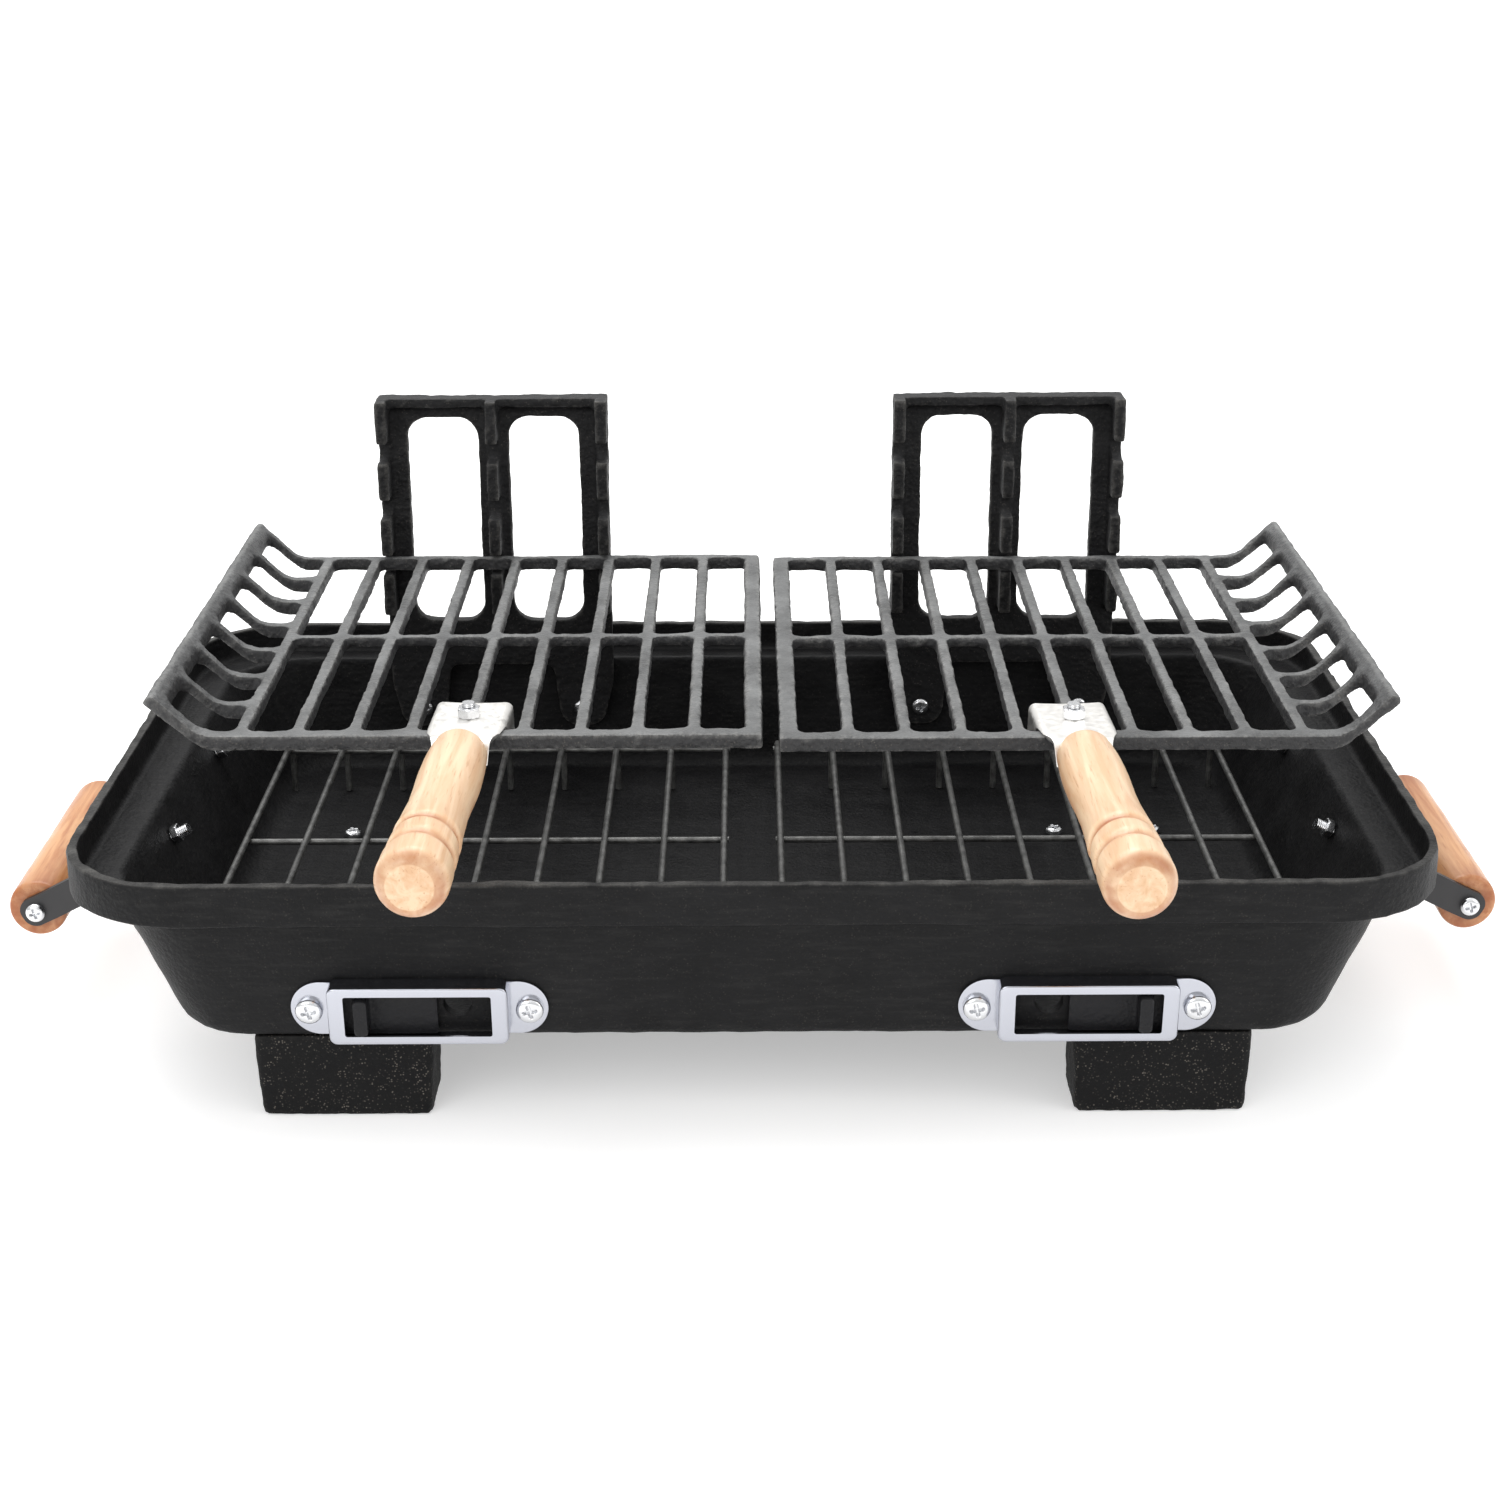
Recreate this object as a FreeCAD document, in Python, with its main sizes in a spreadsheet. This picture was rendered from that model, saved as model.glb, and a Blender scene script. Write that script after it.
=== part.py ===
import FreeCAD, Part
import math
import os

import Sketcher

# Cast-iron table hibachi: a tub-shaped firebox on two bridge legs, two cooking grates that
# hang in notched supports at the back, two wire coal racks, two sliding draught dampers
# and a wooden carrying handle at each end.
# Millimetres. X runs along the grill, the front faces -Y, +Z is up and the feet stand on z = 0.
# X and Y are centred on the whole object, so the bowl's own middle lies at y = bowl_y.

DIMENSIONS = {
    # firebox
    "bowl_y": 47.5, "rim_length": 527, "rim_depth": 317, "rim_radius": 48, "rim_top": 106,
    "rim_wall": 5, "lip_bottom": 88.5, "ledge_top": 93, "tub_length": 497, "tub_depth": 293,
    "tub_radius": 40, "tub_bottom": 35, "base_length": 442, "base_depth": 283.6,
    "base_radius": 36, "wall": 5, "floor_thickness": 5, "base_edge": 7,
    # draught openings and their slides
    "vent_x": 127, "vent_z": 49, "vent_hole_radius": 5.5, "vent_hole_x": 14.4, "vent_hole_z": 50,
    "vent_frame_width": 68.5, "vent_frame_height": 24.8, "vent_frame_rise": 8,
    "vent_sheet": 1.2, "vent_window_width": 56, "vent_window_height": 17.4,
    "vent_ear_reach": 49, "vent_ear_radius": 11.4, "vent_screw_x": 42,
    "damper_width": 38, "damper_height": 21.4, "damper_thickness": 2.6, "damper_x": -12,
    "damper_tab_x": -21.6, "damper_tab_width": 5.6, "damper_tab_height": 15.5,
    "damper_tab_reach": 9.5, "damper_tab_round": 1.7, "damper_travel": 25,
    # legs
    "leg_x": 158, "leg_top_width": 70, "leg_foot_width": 67, "leg_depth": 279, "leg_wall": 6,
    "leg_plate": 7, "leg_foot_length": 31, "leg_corner": 3, "leg_bolt_x": 22, "leg_bolt_y": 48.5,
    # rear supports
    "support_x": 118, "support_width": 106, "support_back": 138.2, "support_plate": 6.5,
    "support_top": 222, "support_band_bottom": 92, "support_window_bottom": 115,
    "support_window_top": 211.5, "support_side_bar": 14, "support_middle_bar": 15,
    "support_window_radius": 8.5, "support_lug_x": 37.5, "support_lug_z": 71,
    "support_lug_radius": 10, "support_lug_top_inner": 24, "rib_width": 6, "rib_depth": 12,
    "rib_bottom": 120, "notch_height": 8, "notch_depth": 10, "notch_pitch": 26.4,
    "support_top_lip": 4, "support_top_lip_height": 5, "notch_play": 0.3,
    # cooking grates
    "grate_x": 7.2, "grate_gap": 5.4, "grate_top": 148, "grate_bar_height": 7,
    "grate_front": -112.5, "grate_depth": 241, "grate_front_bar": 8, "grate_back_bar": 5,
    "grate_middle_bar": 4.6, "grate_middle_relief": 1.6, "grate_slots": 9,
    "grate_slot_pitch": 21.6, "grate_slot_width": 16.1, "grate_slot_radius": 3.2, "grate_edge_bar": 7.9, "grate_wing_bar": 5.5, "wing_start": 212,
    "wing_bend": 12, "wing_reach": 234, "wing_rise": 17, "wing_thickness": 6, "wing_slots": 7,
    "wing_slot_width": 28, "wing_slot_outer": 229.5, "wing_slot_radius": 3.5,
    "right_grate_forward": 4,
    # grate handles
    "handle_bar_x": 115.8, "handle_boss_y": 16, "handle_boss_radius": 7.5, "bracket_width": 30,
    "bracket_sheet": 1.5, "bracket_front": -10, "bracket_back": 33, "bracket_nose_height": 17,
    "bracket_ear_height": 11, "bracket_ear_front": 12, "grip_axis_drop": 3,
    "handle_splay": 1.8,
    # turned grips: (station along the grip, radius there) from the shoulder to the butt
    "grip_length": 127, "grip_swell": 12, "grip_swell_at": 25,
    "grip_waist": 10.9, "grip_waist_at": 64, "grip_neck": 11, "grip_groove_at": 91,
    "grip_bead": 12.6, "grip_groove": 11.2, "grip_second_at": 106, "grip_butt": 13,
    "grip_shoulder": 5, "grip_end_round": 5, "grip_groove_half": 3.5, "grip_soft": 30,
    "pilot_depth": 26, "pilot_play": 0.02,
    # coal racks
    "rack_pitch": 25.35, "rack_wires": 9, "rack_inner_x": 12, "rack_wire": 2.8, "rack_top": 66,
    "rack_front": -112, "rack_back": 104, "rack_bend": 7, "rack_cross_front": -91,
    "rack_cross_middle": -12, "rack_cross_rear": 83, "rack_cross_end": 2, "rack_weld": 1.35,
    # carrying handles
    "carry_x": 294, "carry_z": 52, "carry_radius": 12, "carry_length": 116,
    "strap_thickness": 2.5, "strap_eye_radius": 6, "strap_bolt_z": 78, "strap_bolt_y": 48.5,
    "strap_flange_length": 20, "strap_width": 13,
    # fasteners: small ones are M4, the vent screws and handle bolts are M5
    "small_shank": 2, "small_head": 4, "small_head_height": 2.8, "large_shank": 2.5,
    "large_head": 4.8, "large_head_height": 3.2, "small_nut": 3.5, "small_nut_height": 3.2,
    "large_nut": 4, "large_nut_height": 4, "grip_shank": 2, "grip_head": 2.8,
    "grip_head_height": 2, "hole_play": 0.25, "running_gap": 0.4, "seat_gap": 0.05,
    "thread_end": 2, "carry_screw_length": 24, "grip_screw_length": 24, "cutter_reach": 5,
}

doc = FreeCAD.newDocument("hibachi")
sheet = doc.addObject("Spreadsheet::Sheet", "dims")
for row, (alias, number) in enumerate(DIMENSIONS.items(), start=1):
    sheet.set(f"A{row}", alias)
    sheet.set(f"B{row}", str(number))
    sheet.setAlias(f"B{row}", alias)
doc.recompute()


class Size:
    """A length that carries both its number and the sheet formula that gives it."""

    def __init__(self, number, formula):
        self.number = number
        self.formula = formula

    def __add__(self, other):
        other = as_size(other)
        return Size(self.number + other.number, f"({self.formula} + {other.formula})")

    def __sub__(self, other):
        other = as_size(other)
        return Size(self.number - other.number, f"({self.formula} - {other.formula})")

    def __mul__(self, other):
        other = as_size(other)
        return Size(self.number * other.number, f"({self.formula} * {other.formula})")

    def __truediv__(self, other):
        other = as_size(other)
        return Size(self.number / other.number, f"({self.formula} / {other.formula})")

    def __neg__(self):
        return Size(-self.number, f"(0 - {self.formula})")


def as_size(value):
    if isinstance(value, Size):
        return value
    return Size(float(value), f"({float(value)!r})")


def dim(alias):
    """The sheet's dimension with this alias."""
    return Size(float(sheet.get(alias)), f"dims.{alias}")


def num(alias):
    return float(sheet.get(alias))


def bind(item, prop, size):
    item.setExpression(prop, as_size(size).formula)


# ---------------------------------------------------------------- sketches and features


def new_body(name):
    return doc.addObject("PartDesign::Body", name + "_body")


def origin_part(body, role):
    return next(f for f in body.Origin.OriginFeatures if f.Role == role)


def new_sketch(body, plane, offset=0):
    """A sketch on the body's own origin plane, moved along the plane's normal."""
    sketch = body.newObject("Sketcher::SketchObject", body.Name + "_sketch")
    sketch.AttachmentSupport = [(origin_part(body, plane), "")]
    sketch.MapMode = "FlatFace"
    bind(sketch, "AttachmentOffset.Base.z", offset)
    return sketch


def pin_distance(sketch, kind, geometry, position, size):
    """Hold one coordinate of a point to a formula, measured from the sketch's origin."""
    origin = (-1, 1)
    point = (geometry, position)
    if size.number < 0:
        first, second, size = point, origin, -size
    else:
        first, second = origin, point
    index = sketch.addConstraint(Sketcher.Constraint(kind, *first, *second, size.number))
    sketch.setExpression(f"Constraints[{index}]", size.formula)


def pin_point(sketch, geometry, position, x, y):
    """Hold a sketch point at (x, y)."""
    v_axis, h_axis = -2, -1
    if abs(x.number) < 1e-9:
        sketch.addConstraint(Sketcher.Constraint("PointOnObject", geometry, position, v_axis))
    else:
        pin_distance(sketch, "DistanceX", geometry, position, x)
    if abs(y.number) < 1e-9:
        sketch.addConstraint(Sketcher.Constraint("PointOnObject", geometry, position, h_axis))
    else:
        pin_distance(sketch, "DistanceY", geometry, position, y)


def draw_outline(sketch, corners):
    """A closed outline through corners (x, y) or (x, y, radius), anticlockwise."""
    points = [FreeCAD.Vector(as_size(c[0]).number, as_size(c[1]).number, 0) for c in corners]
    radii = [as_size(c[2]) if len(c) > 2 else None for c in corners]
    count = len(points)
    reach = []
    turns = []
    for i in range(count):
        before = (points[i - 1] - points[i]).normalize()
        after = (points[(i + 1) % count] - points[i]).normalize()
        turn = math.pi - before.getAngle(after)
        turns.append((turn, before.cross(after).z < 0))
        reach.append(radii[i].number * math.tan(turn / 2) if radii[i] else 0)
    lines = []
    for i in range(count):
        j = (i + 1) % count
        along = (points[j] - points[i]).normalize()
        start = points[i] + along * reach[i]
        end = points[j] - along * reach[j]
        lines.append(sketch.addGeometry(Part.LineSegment(start, end)))
    for i in range(count):
        mark = sketch.addGeometry(Part.Point(points[i]), True)
        pin_point(sketch, mark, 1, as_size(corners[i][0]), as_size(corners[i][1]))
        into, out = lines[i - 1], lines[i]
        if not radii[i]:
            sketch.addConstraint(Sketcher.Constraint("Coincident", into, 2, mark, 1))
            sketch.addConstraint(Sketcher.Constraint("Coincident", out, 1, mark, 1))
            continue
        add_corner_arc(sketch, points, i, radii[i], reach[i], turns[i], into, out, mark)


def add_corner_arc(sketch, points, i, radius, reach, turn, into, out, mark):
    """Round one corner with an arc tangent to both its lines."""
    angle, anticlockwise = turn
    before = (points[i - 1] - points[i]).normalize()
    after = (points[(i + 1) % len(points)] - points[i]).normalize()
    bisector = (before + after).normalize()
    centre = points[i] + bisector * (radius.number / math.cos(angle / 2))
    ends = [points[i] + before * reach, points[i] + after * reach]
    if not anticlockwise:
        ends.reverse()
    angles = [math.atan2((e - centre).y, (e - centre).x) for e in ends]
    circle = Part.Circle(centre, FreeCAD.Vector(0, 0, 1), radius.number)
    arc = sketch.addGeometry(Part.ArcOfCircle(circle, angles[0], angles[1]))
    in_end, out_end = (1, 2) if anticlockwise else (2, 1)
    sketch.addConstraint(Sketcher.Constraint("Tangent", into, 2, arc, in_end))
    sketch.addConstraint(Sketcher.Constraint("Tangent", arc, out_end, out, 1))
    sketch.addConstraint(Sketcher.Constraint("PointOnObject", mark, 1, into))
    sketch.addConstraint(Sketcher.Constraint("PointOnObject", mark, 1, out))
    index = sketch.addConstraint(Sketcher.Constraint("Radius", arc, radius.number))
    sketch.setExpression(f"Constraints[{index}]", radius.formula)


def rectangle(x_low, x_high, y_low, y_high, radius=None):
    """The four corners of an upright rectangle, rounded or sharp."""
    corners = [(x_low, y_low), (x_high, y_low), (x_high, y_high), (x_low, y_high)]
    return [c + (radius,) for c in corners] if radius is not None else corners


def centred_rectangle(width, depth, radius=None):
    return rectangle(-(width / 2), width / 2, -(depth / 2), depth / 2, radius)


def draw_circle(sketch, x, y, radius):
    x, y, radius = as_size(x), as_size(y), as_size(radius)
    centre = FreeCAD.Vector(x.number, y.number, 0)
    circle = sketch.addGeometry(Part.Circle(centre, FreeCAD.Vector(0, 0, 1), radius.number))
    pin_point(sketch, circle, 3, x, y)
    index = sketch.addConstraint(Sketcher.Constraint("Radius", circle, radius.number))
    sketch.setExpression(f"Constraints[{index}]", radius.formula)


def pad(body, sketch, length, midplane=False, reverse=False):
    feature = body.newObject("PartDesign::Pad", body.Name + "_pad")
    feature.Profile = sketch
    feature.SideType = "Symmetric" if midplane else "One side"
    feature.Reversed = reverse
    bind(feature, "Length", length)
    return feature


def pocket(body, sketch, length=None, midplane=False, reverse=False):
    """Cut by a length, or right through when no length is given."""
    feature = body.newObject("PartDesign::Pocket", body.Name + "_pocket")
    feature.Profile = sketch
    feature.SideType = "Symmetric" if midplane else "One side"
    feature.Reversed = reverse
    if length is None:
        feature.Type = "ThroughAll"
    else:
        bind(feature, "Length", length)
    return feature


def loft(body, first, second, kind):
    feature = body.newObject("PartDesign::" + kind, body.Name + "_loft")
    feature.Profile = first
    feature.Sections = [second]
    feature.Ruled = True
    return feature


def row_of(body, feature, axis, pitch, count, backwards=False):
    """Repeat a feature along one of the body's axes, or the other way along it."""
    pattern = body.newObject("PartDesign::LinearPattern", body.Name + "_row")
    pattern.Originals = [feature]
    pattern.Direction = (origin_part(body, axis), [""])
    pattern.Reversed = backwards
    pattern.Mode = "Spacing"
    bind(pattern, "Offset", pitch)
    bind(pattern, "Occurrences", count)
    body.Tip = pattern
    return pattern


def fillet_edges(body, radius, wanted):
    """Round the edges of the body's last feature for which wanted(edge) is true."""
    doc.recompute()
    base = body.Tip
    names = [f"Edge{i}" for i, e in enumerate(base.Shape.Edges, start=1) if wanted(e)]
    feature = body.newObject("PartDesign::Fillet", body.Name + "_fillet")
    feature.Base = (base, names)
    bind(feature, "Radius", radius)
    return feature


def turned(body, corners):
    """A body of revolution about Z from an outline of (radius, height) corners."""
    sketch = new_sketch(body, "XZ_Plane")
    draw_outline(sketch, corners)
    feature = body.newObject("PartDesign::Revolution", body.Name + "_turned")
    feature.Profile = sketch
    feature.ReferenceAxis = (sketch, ["V_Axis"])
    feature.Angle = 360
    return feature


def place(item, x, y, z, axis=(0, 0, 1), angle=0, swing=0):
    """Put a sub-part in the bowl's frame: y is measured from the bowl's middle. It is turned
    about axis first and then swung about Z."""
    turn = FreeCAD.Rotation(FreeCAD.Vector(*axis), angle)
    swung = FreeCAD.Rotation(FreeCAD.Vector(0, 0, 1), swing)
    item.Placement = FreeCAD.Placement(FreeCAD.Vector(0, 0, 0), swung.multiply(turn))
    bind(item, "Placement.Base.x", x)
    bind(item, "Placement.Base.y", as_size(y) + dim("bowl_y"))
    bind(item, "Placement.Base.z", z)
    return item


def cylinder(name, radius, height):
    item = doc.addObject("Part::Cylinder", name)
    bind(item, "Radius", radius)
    bind(item, "Height", height)
    return item


def drilled(name, base, tools):
    """The base with every tool cut out of it."""
    group = doc.addObject("Part::MultiFuse", name + "_tools")
    group.Shapes = tools
    item = doc.addObject("Part::Cut", name)
    item.Base = base
    item.Tool = group
    return item


PARTS = []


def keep(item, label):
    """Name a finished sub-part, which also names its file."""
    item.Label = label
    PARTS.append(item)
    return item


# ---------------------------------------------------------------- firebox

SIDES = (("left", -1), ("right", 1))
ENDS = (("front", -1), ("rear", 1))
WALL_LEAN = math.degrees(math.atan2((num("tub_depth") - num("base_depth")) / 2,
                                    num("lip_bottom") - num("tub_bottom")))
END_LEAN = math.degrees(math.atan2((num("tub_length") - num("base_length")) / 2,
                                   num("lip_bottom") - num("tub_bottom")))


def wall_y(z):
    """How far from the bowl's middle the outside of the long walls is at height z."""
    slope = math.tan(math.radians(WALL_LEAN))
    return num("tub_depth") / 2 - (num("lip_bottom") - z) * slope


def wall_x(z):
    """How far from the middle the outside of the end walls is at height z."""
    slope = math.tan(math.radians(END_LEAN))
    return num("tub_length") / 2 - (num("lip_bottom") - z) * slope


def wall_run(half_outer, lean, half_inner_top, half_inner_base, z):
    """How far a bolt square to a leaning wall runs from the outer face to the inner one."""
    lean = math.radians(lean)
    height = num("ledge_top") - num("tub_bottom") - num("floor_thickness")
    slope = (half_inner_top - half_inner_base) / height
    inner = half_inner_top - (num("ledge_top") - z) * slope
    return (half_outer - inner) / (math.cos(lean) + slope * math.sin(lean))


def tub_section(body, height, length, depth, radius):
    sketch = new_sketch(body, "XY_Plane", height)
    draw_outline(sketch, centred_rectangle(length, depth, radius))
    return sketch


def make_tub():
    """The open casting: a flared tub under a rim that steps outwards over a ledge."""
    body = new_body("tub")
    wall = dim("wall")
    rim = tub_section(body, dim("lip_bottom"), dim("rim_length"), dim("rim_depth"),
                      dim("rim_radius"))
    pad(body, rim, dim("rim_top") - dim("lip_bottom"))
    top = tub_section(body, dim("lip_bottom"), dim("tub_length"), dim("tub_depth"),
                      dim("tub_radius"))
    base = tub_section(body, dim("tub_bottom"), dim("base_length"), dim("base_depth"),
                       dim("base_radius"))
    loft(body, top, base, "AdditiveLoft")
    fillet_edges(body, dim("base_edge"),
                 lambda e: abs(e.BoundBox.ZMax - num("tub_bottom")) < 0.01)
    recess = tub_section(body, dim("rim_top"), dim("rim_length") - dim("rim_wall") * 2,
                         dim("rim_depth") - dim("rim_wall") * 2,
                         dim("rim_radius") - dim("rim_wall"))
    pocket(body, recess, dim("rim_top") - dim("ledge_top"))
    inner_top = tub_section(body, dim("ledge_top"), dim("tub_length") - wall * 2,
                            dim("tub_depth") - wall * 2, dim("tub_radius") - wall)
    inner_base = tub_section(body, dim("tub_bottom") + dim("floor_thickness"),
                             dim("base_length") - wall, dim("base_depth") - wall * 2,
                             dim("base_radius") - wall)
    loft(body, inner_top, inner_base, "SubtractiveLoft")
    return body


def bolt_hole(radius, x, y, z, axis, angle):
    """A drill centred on (x, y, z) whose axis is Z turned by angle about axis."""
    length = dim("wall") * 8
    item = cylinder("drill", radius, length)
    turn = FreeCAD.Rotation(FreeCAD.Vector(*axis), angle)
    back = turn.multVec(FreeCAD.Vector(0, 0, -length.number / 2))
    return place(item, as_size(x) + back.x, as_size(y) + back.y, as_size(z) + back.z, axis, angle)


def make_firebox():
    small = dim("small_shank") + dim("hole_play")
    large = dim("large_shank") + dim("hole_play")
    tools = []
    for name, side in SIDES:
        tools.append(bolt_hole(dim("vent_hole_radius"),
                               (dim("vent_x") - dim("vent_hole_x")) * side,
                               -wall_y(num("vent_hole_z")), dim("vent_hole_z"), (1, 0, 0),
                               90 + WALL_LEAN))
        for end in (-1, 1):
            tools.append(bolt_hole(large, dim("vent_x") * side + dim("vent_screw_x") * end,
                                   -wall_y(num("vent_z")), dim("vent_z"), (1, 0, 0),
                                   90 + WALL_LEAN))
            tools.append(bolt_hole(small, dim("support_x") * side + dim("support_lug_x") * end,
                                   wall_y(num("support_lug_z")), dim("support_lug_z"),
                                   (1, 0, 0), 90))
            tools.append(bolt_hole(small, wall_x(num("strap_bolt_z")) * side,
                                   dim("strap_bolt_y") * end, dim("strap_bolt_z"), (0, 1, 0),
                                   side * (90 + END_LEAN)))
            for across in (-1, 1):
                tools.append(bolt_hole(small, dim("leg_x") * side + dim("leg_bolt_x") * across,
                                       dim("leg_bolt_y") * end, dim("tub_bottom"), (0, 0, 1), 0))
    tub = place(make_tub(), 0, 0, 0)
    keep(drilled("firebox_casting", tub, tools), "firebox")


# ---------------------------------------------------------------- legs


def make_leg(side, name):
    """A bridge casting: a foot at the front and at the back, joined by a plate."""
    body = new_body("leg_" + name)
    half_top, half_foot = dim("leg_top_width") / 2, dim("leg_foot_width") / 2
    top = dim("tub_bottom")
    front = new_sketch(body, "XZ_Plane")
    draw_outline(front, [(-half_foot, 0), (half_foot, 0), (half_top, top), (-half_top, top)])
    pad(body, front, dim("leg_depth"), midplane=True)
    fillet_edges(body, dim("leg_corner"),
                 lambda e: e.BoundBox.ZLength > 0.9 * num("tub_bottom"))
    hollow = new_sketch(body, "XY_Plane")
    draw_outline(hollow, centred_rectangle(dim("leg_foot_width") - dim("leg_wall") * 2,
                                           dim("leg_depth") - dim("leg_wall") * 2,
                                           dim("leg_corner")))
    pocket(body, hollow, top - dim("leg_plate"), reverse=True)
    arch = new_sketch(body, "YZ_Plane")
    half_arch = dim("leg_depth") / 2 - dim("leg_foot_length")
    radius = dim("leg_corner") * 3
    draw_outline(arch, [(-half_arch, -radius), (half_arch, -radius),
                        (half_arch, top - dim("leg_plate"), radius),
                        (-half_arch, top - dim("leg_plate"), radius)])
    pocket(body, arch, dim("leg_top_width") * 2, midplane=True)
    place(body, dim("leg_x") * side, 0, 0)
    hole = dim("small_shank") + dim("hole_play")
    tools = [bolt_hole(hole, dim("leg_x") * side + dim("leg_bolt_x") * across,
                       dim("leg_bolt_y") * end, top, (0, 0, 1), 0)
             for across in (-1, 1) for end in (-1, 1)]
    keep(drilled("leg_drilled_" + name, body, tools), "leg_" + name)


# ---------------------------------------------------------------- rear supports


def make_support(side, name):
    """A two-window frame whose three ribs are notched for three grate heights."""
    body = new_body("support_" + name)
    half = dim("support_width") / 2
    back, plate = dim("support_back"), dim("support_plate")
    lug_x, lug_z, lug_r = dim("support_lug_x"), dim("support_lug_z"), dim("support_lug_radius")
    band, inner = dim("support_band_bottom"), dim("support_lug_top_inner")
    outline = new_sketch(body, "XZ_Plane", -back)
    low = lug_z - lug_r
    corner = lug_r * 0.9
    draw_outline(outline, [
        (-half, dim("support_top")), (-half, band - corner),
        (-(lug_x + lug_r), low, corner), (-(lug_x - lug_r), low, corner), (-inner, band, corner / 2),
        (inner, band, corner / 2), (lug_x - lug_r, low, corner), (lug_x + lug_r, low, corner),
        (half, band - corner), (half, dim("support_top"))])
    pad(body, outline, plate)
    rib_sketch = new_sketch(body, "XZ_Plane", plate - back)
    rib_half = dim("rib_width") / 2
    for x in (rib_half - half, as_size(0), half - rib_half):
        draw_outline(rib_sketch, rectangle(x - rib_half, x + rib_half, dim("rib_bottom"),
                                           dim("support_top")))
    pad(body, rib_sketch, dim("rib_depth"))
    lip = new_sketch(body, "XZ_Plane", plate - back)
    draw_outline(lip, rectangle(-half, half, dim("support_top") - dim("support_top_lip_height"),
                                dim("support_top")))
    pad(body, lip, dim("support_top_lip"))
    windows = new_sketch(body, "XZ_Plane")
    middle = dim("support_middle_bar") / 2
    for x_low, x_high in ((dim("support_side_bar") - half, -middle),
                          (middle, half - dim("support_side_bar"))):
        draw_outline(windows, rectangle(x_low, x_high, dim("support_window_bottom"),
                                        dim("support_window_top"),
                                        dim("support_window_radius")))
    pocket(body, windows, midplane=True)
    notch = new_sketch(body, "YZ_Plane")
    floor = dim("grate_top") - dim("grate_bar_height") - dim("notch_play")
    rib_front = back - plate - dim("rib_depth")
    draw_outline(notch, rectangle(rib_front - 1, rib_front + dim("notch_depth"), floor,
                                  floor + dim("notch_height")))
    first = pocket(body, notch, dim("support_width") * 2, midplane=True)
    row_of(body, first, "Z_Axis", dim("notch_pitch"), 3)
    place(body, dim("support_x") * side, 0, 0)
    hole = dim("small_shank") + dim("hole_play")
    tools = [bolt_hole(hole, dim("support_x") * side + lug_x * end, back, lug_z, (1, 0, 0), 90)
             for end in (-1, 1)]
    keep(drilled("support_drilled_" + name, body, tools), "support_" + name)


# ---------------------------------------------------------------- cooking grates


def make_grate(side, name):
    """Two rows of long slots, and an outer wing that curls up with cross slots of its own."""
    body = new_body("grate_" + name)
    bar, thick = dim("grate_bar_height"), dim("wing_thickness")
    start, reach, rise = dim("wing_start"), dim("wing_reach"), dim("wing_rise")
    bend = dim("wing_bend")
    inner = dim("grate_gap") / 2
    ramp = reach - rise
    diagonal = thick * math.sqrt(0.5)
    profile = new_sketch(body, "XZ_Plane")
    draw_outline(profile, [
        (inner * side, 0), (inner * side, -bar), ((ramp + bar - diagonal * 2) * side, -bar, bend),
        ((reach + diagonal) * side, rise - diagonal, thick / 4), (reach * side, rise, thick / 4),
        (ramp * side, 0, bend)][::-side])
    pad(body, profile, dim("grate_depth"), reverse=True)
    slots = new_sketch(body, "XY_Plane", rise + dim("cutter_reach"))
    half_slot = dim("grate_slot_width") / 2
    first_x = (inner + dim("grate_edge_bar") + half_slot) * side
    half_row = (dim("grate_depth") + dim("grate_front_bar") - dim("grate_back_bar")) / 2
    for y_low, y_high in ((dim("grate_front_bar"), half_row - dim("grate_middle_bar") / 2),
                          (half_row + dim("grate_middle_bar") / 2,
                           dim("grate_depth") - dim("grate_back_bar"))):
        draw_outline(slots, rectangle(first_x - half_slot, first_x + half_slot, y_low, y_high,
                                      dim("grate_slot_radius")))
    cut = pocket(body, slots)
    row_of(body, cut, "X_Axis", dim("grate_slot_pitch"), dim("grate_slots"), side < 0)
    relief = new_sketch(body, "XY_Plane", dim("grate_middle_relief") - bar)
    half_middle = dim("grate_middle_bar") / 2 + dim("grate_slot_radius")
    draw_outline(relief, rectangle(first_x - half_slot, first_x + half_slot,
                                   half_row - half_middle, half_row + half_middle))
    shallow = pocket(body, relief, dim("grate_middle_relief"))
    row_of(body, shallow, "X_Axis", dim("grate_slot_pitch"), dim("grate_slots"), side < 0)
    wing = new_sketch(body, "XY_Plane", rise + dim("cutter_reach"))
    last_bar = (inner + dim("grate_edge_bar") + dim("grate_slot_width")
                + dim("grate_slot_pitch") * (dim("grate_slots") - 1) + dim("grate_wing_bar"))
    edges = [last_bar * side, dim("wing_slot_outer") * side][::side]
    spare = dim("grate_depth") - dim("grate_front_bar") - dim("grate_back_bar")
    rung = (spare - dim("wing_slot_width") * dim("wing_slots")) / (dim("wing_slots") - 1)
    draw_outline(wing, rectangle(edges[0], edges[1], dim("grate_front_bar"),
                                 dim("grate_front_bar") + dim("wing_slot_width"),
                                 dim("wing_slot_radius")))
    wing_cut = pocket(body, wing)
    row_of(body, wing_cut, "Y_Axis", dim("wing_slot_width") + rung, dim("wing_slots"))
    boss = new_sketch(body, "XY_Plane", -bar)
    draw_circle(boss, dim("handle_bar_x") * side, dim("handle_boss_y"), dim("handle_boss_radius"))
    pad(body, boss, bar)
    bore = new_sketch(body, "XY_Plane", rise + dim("cutter_reach"))
    draw_circle(bore, dim("handle_bar_x") * side, dim("handle_boss_y"),
                dim("large_shank") + dim("hole_play"))
    pocket(body, bore)
    keep(place(body, dim("grate_x"), grate_front(side), dim("grate_top")), "grate_" + name)


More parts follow.
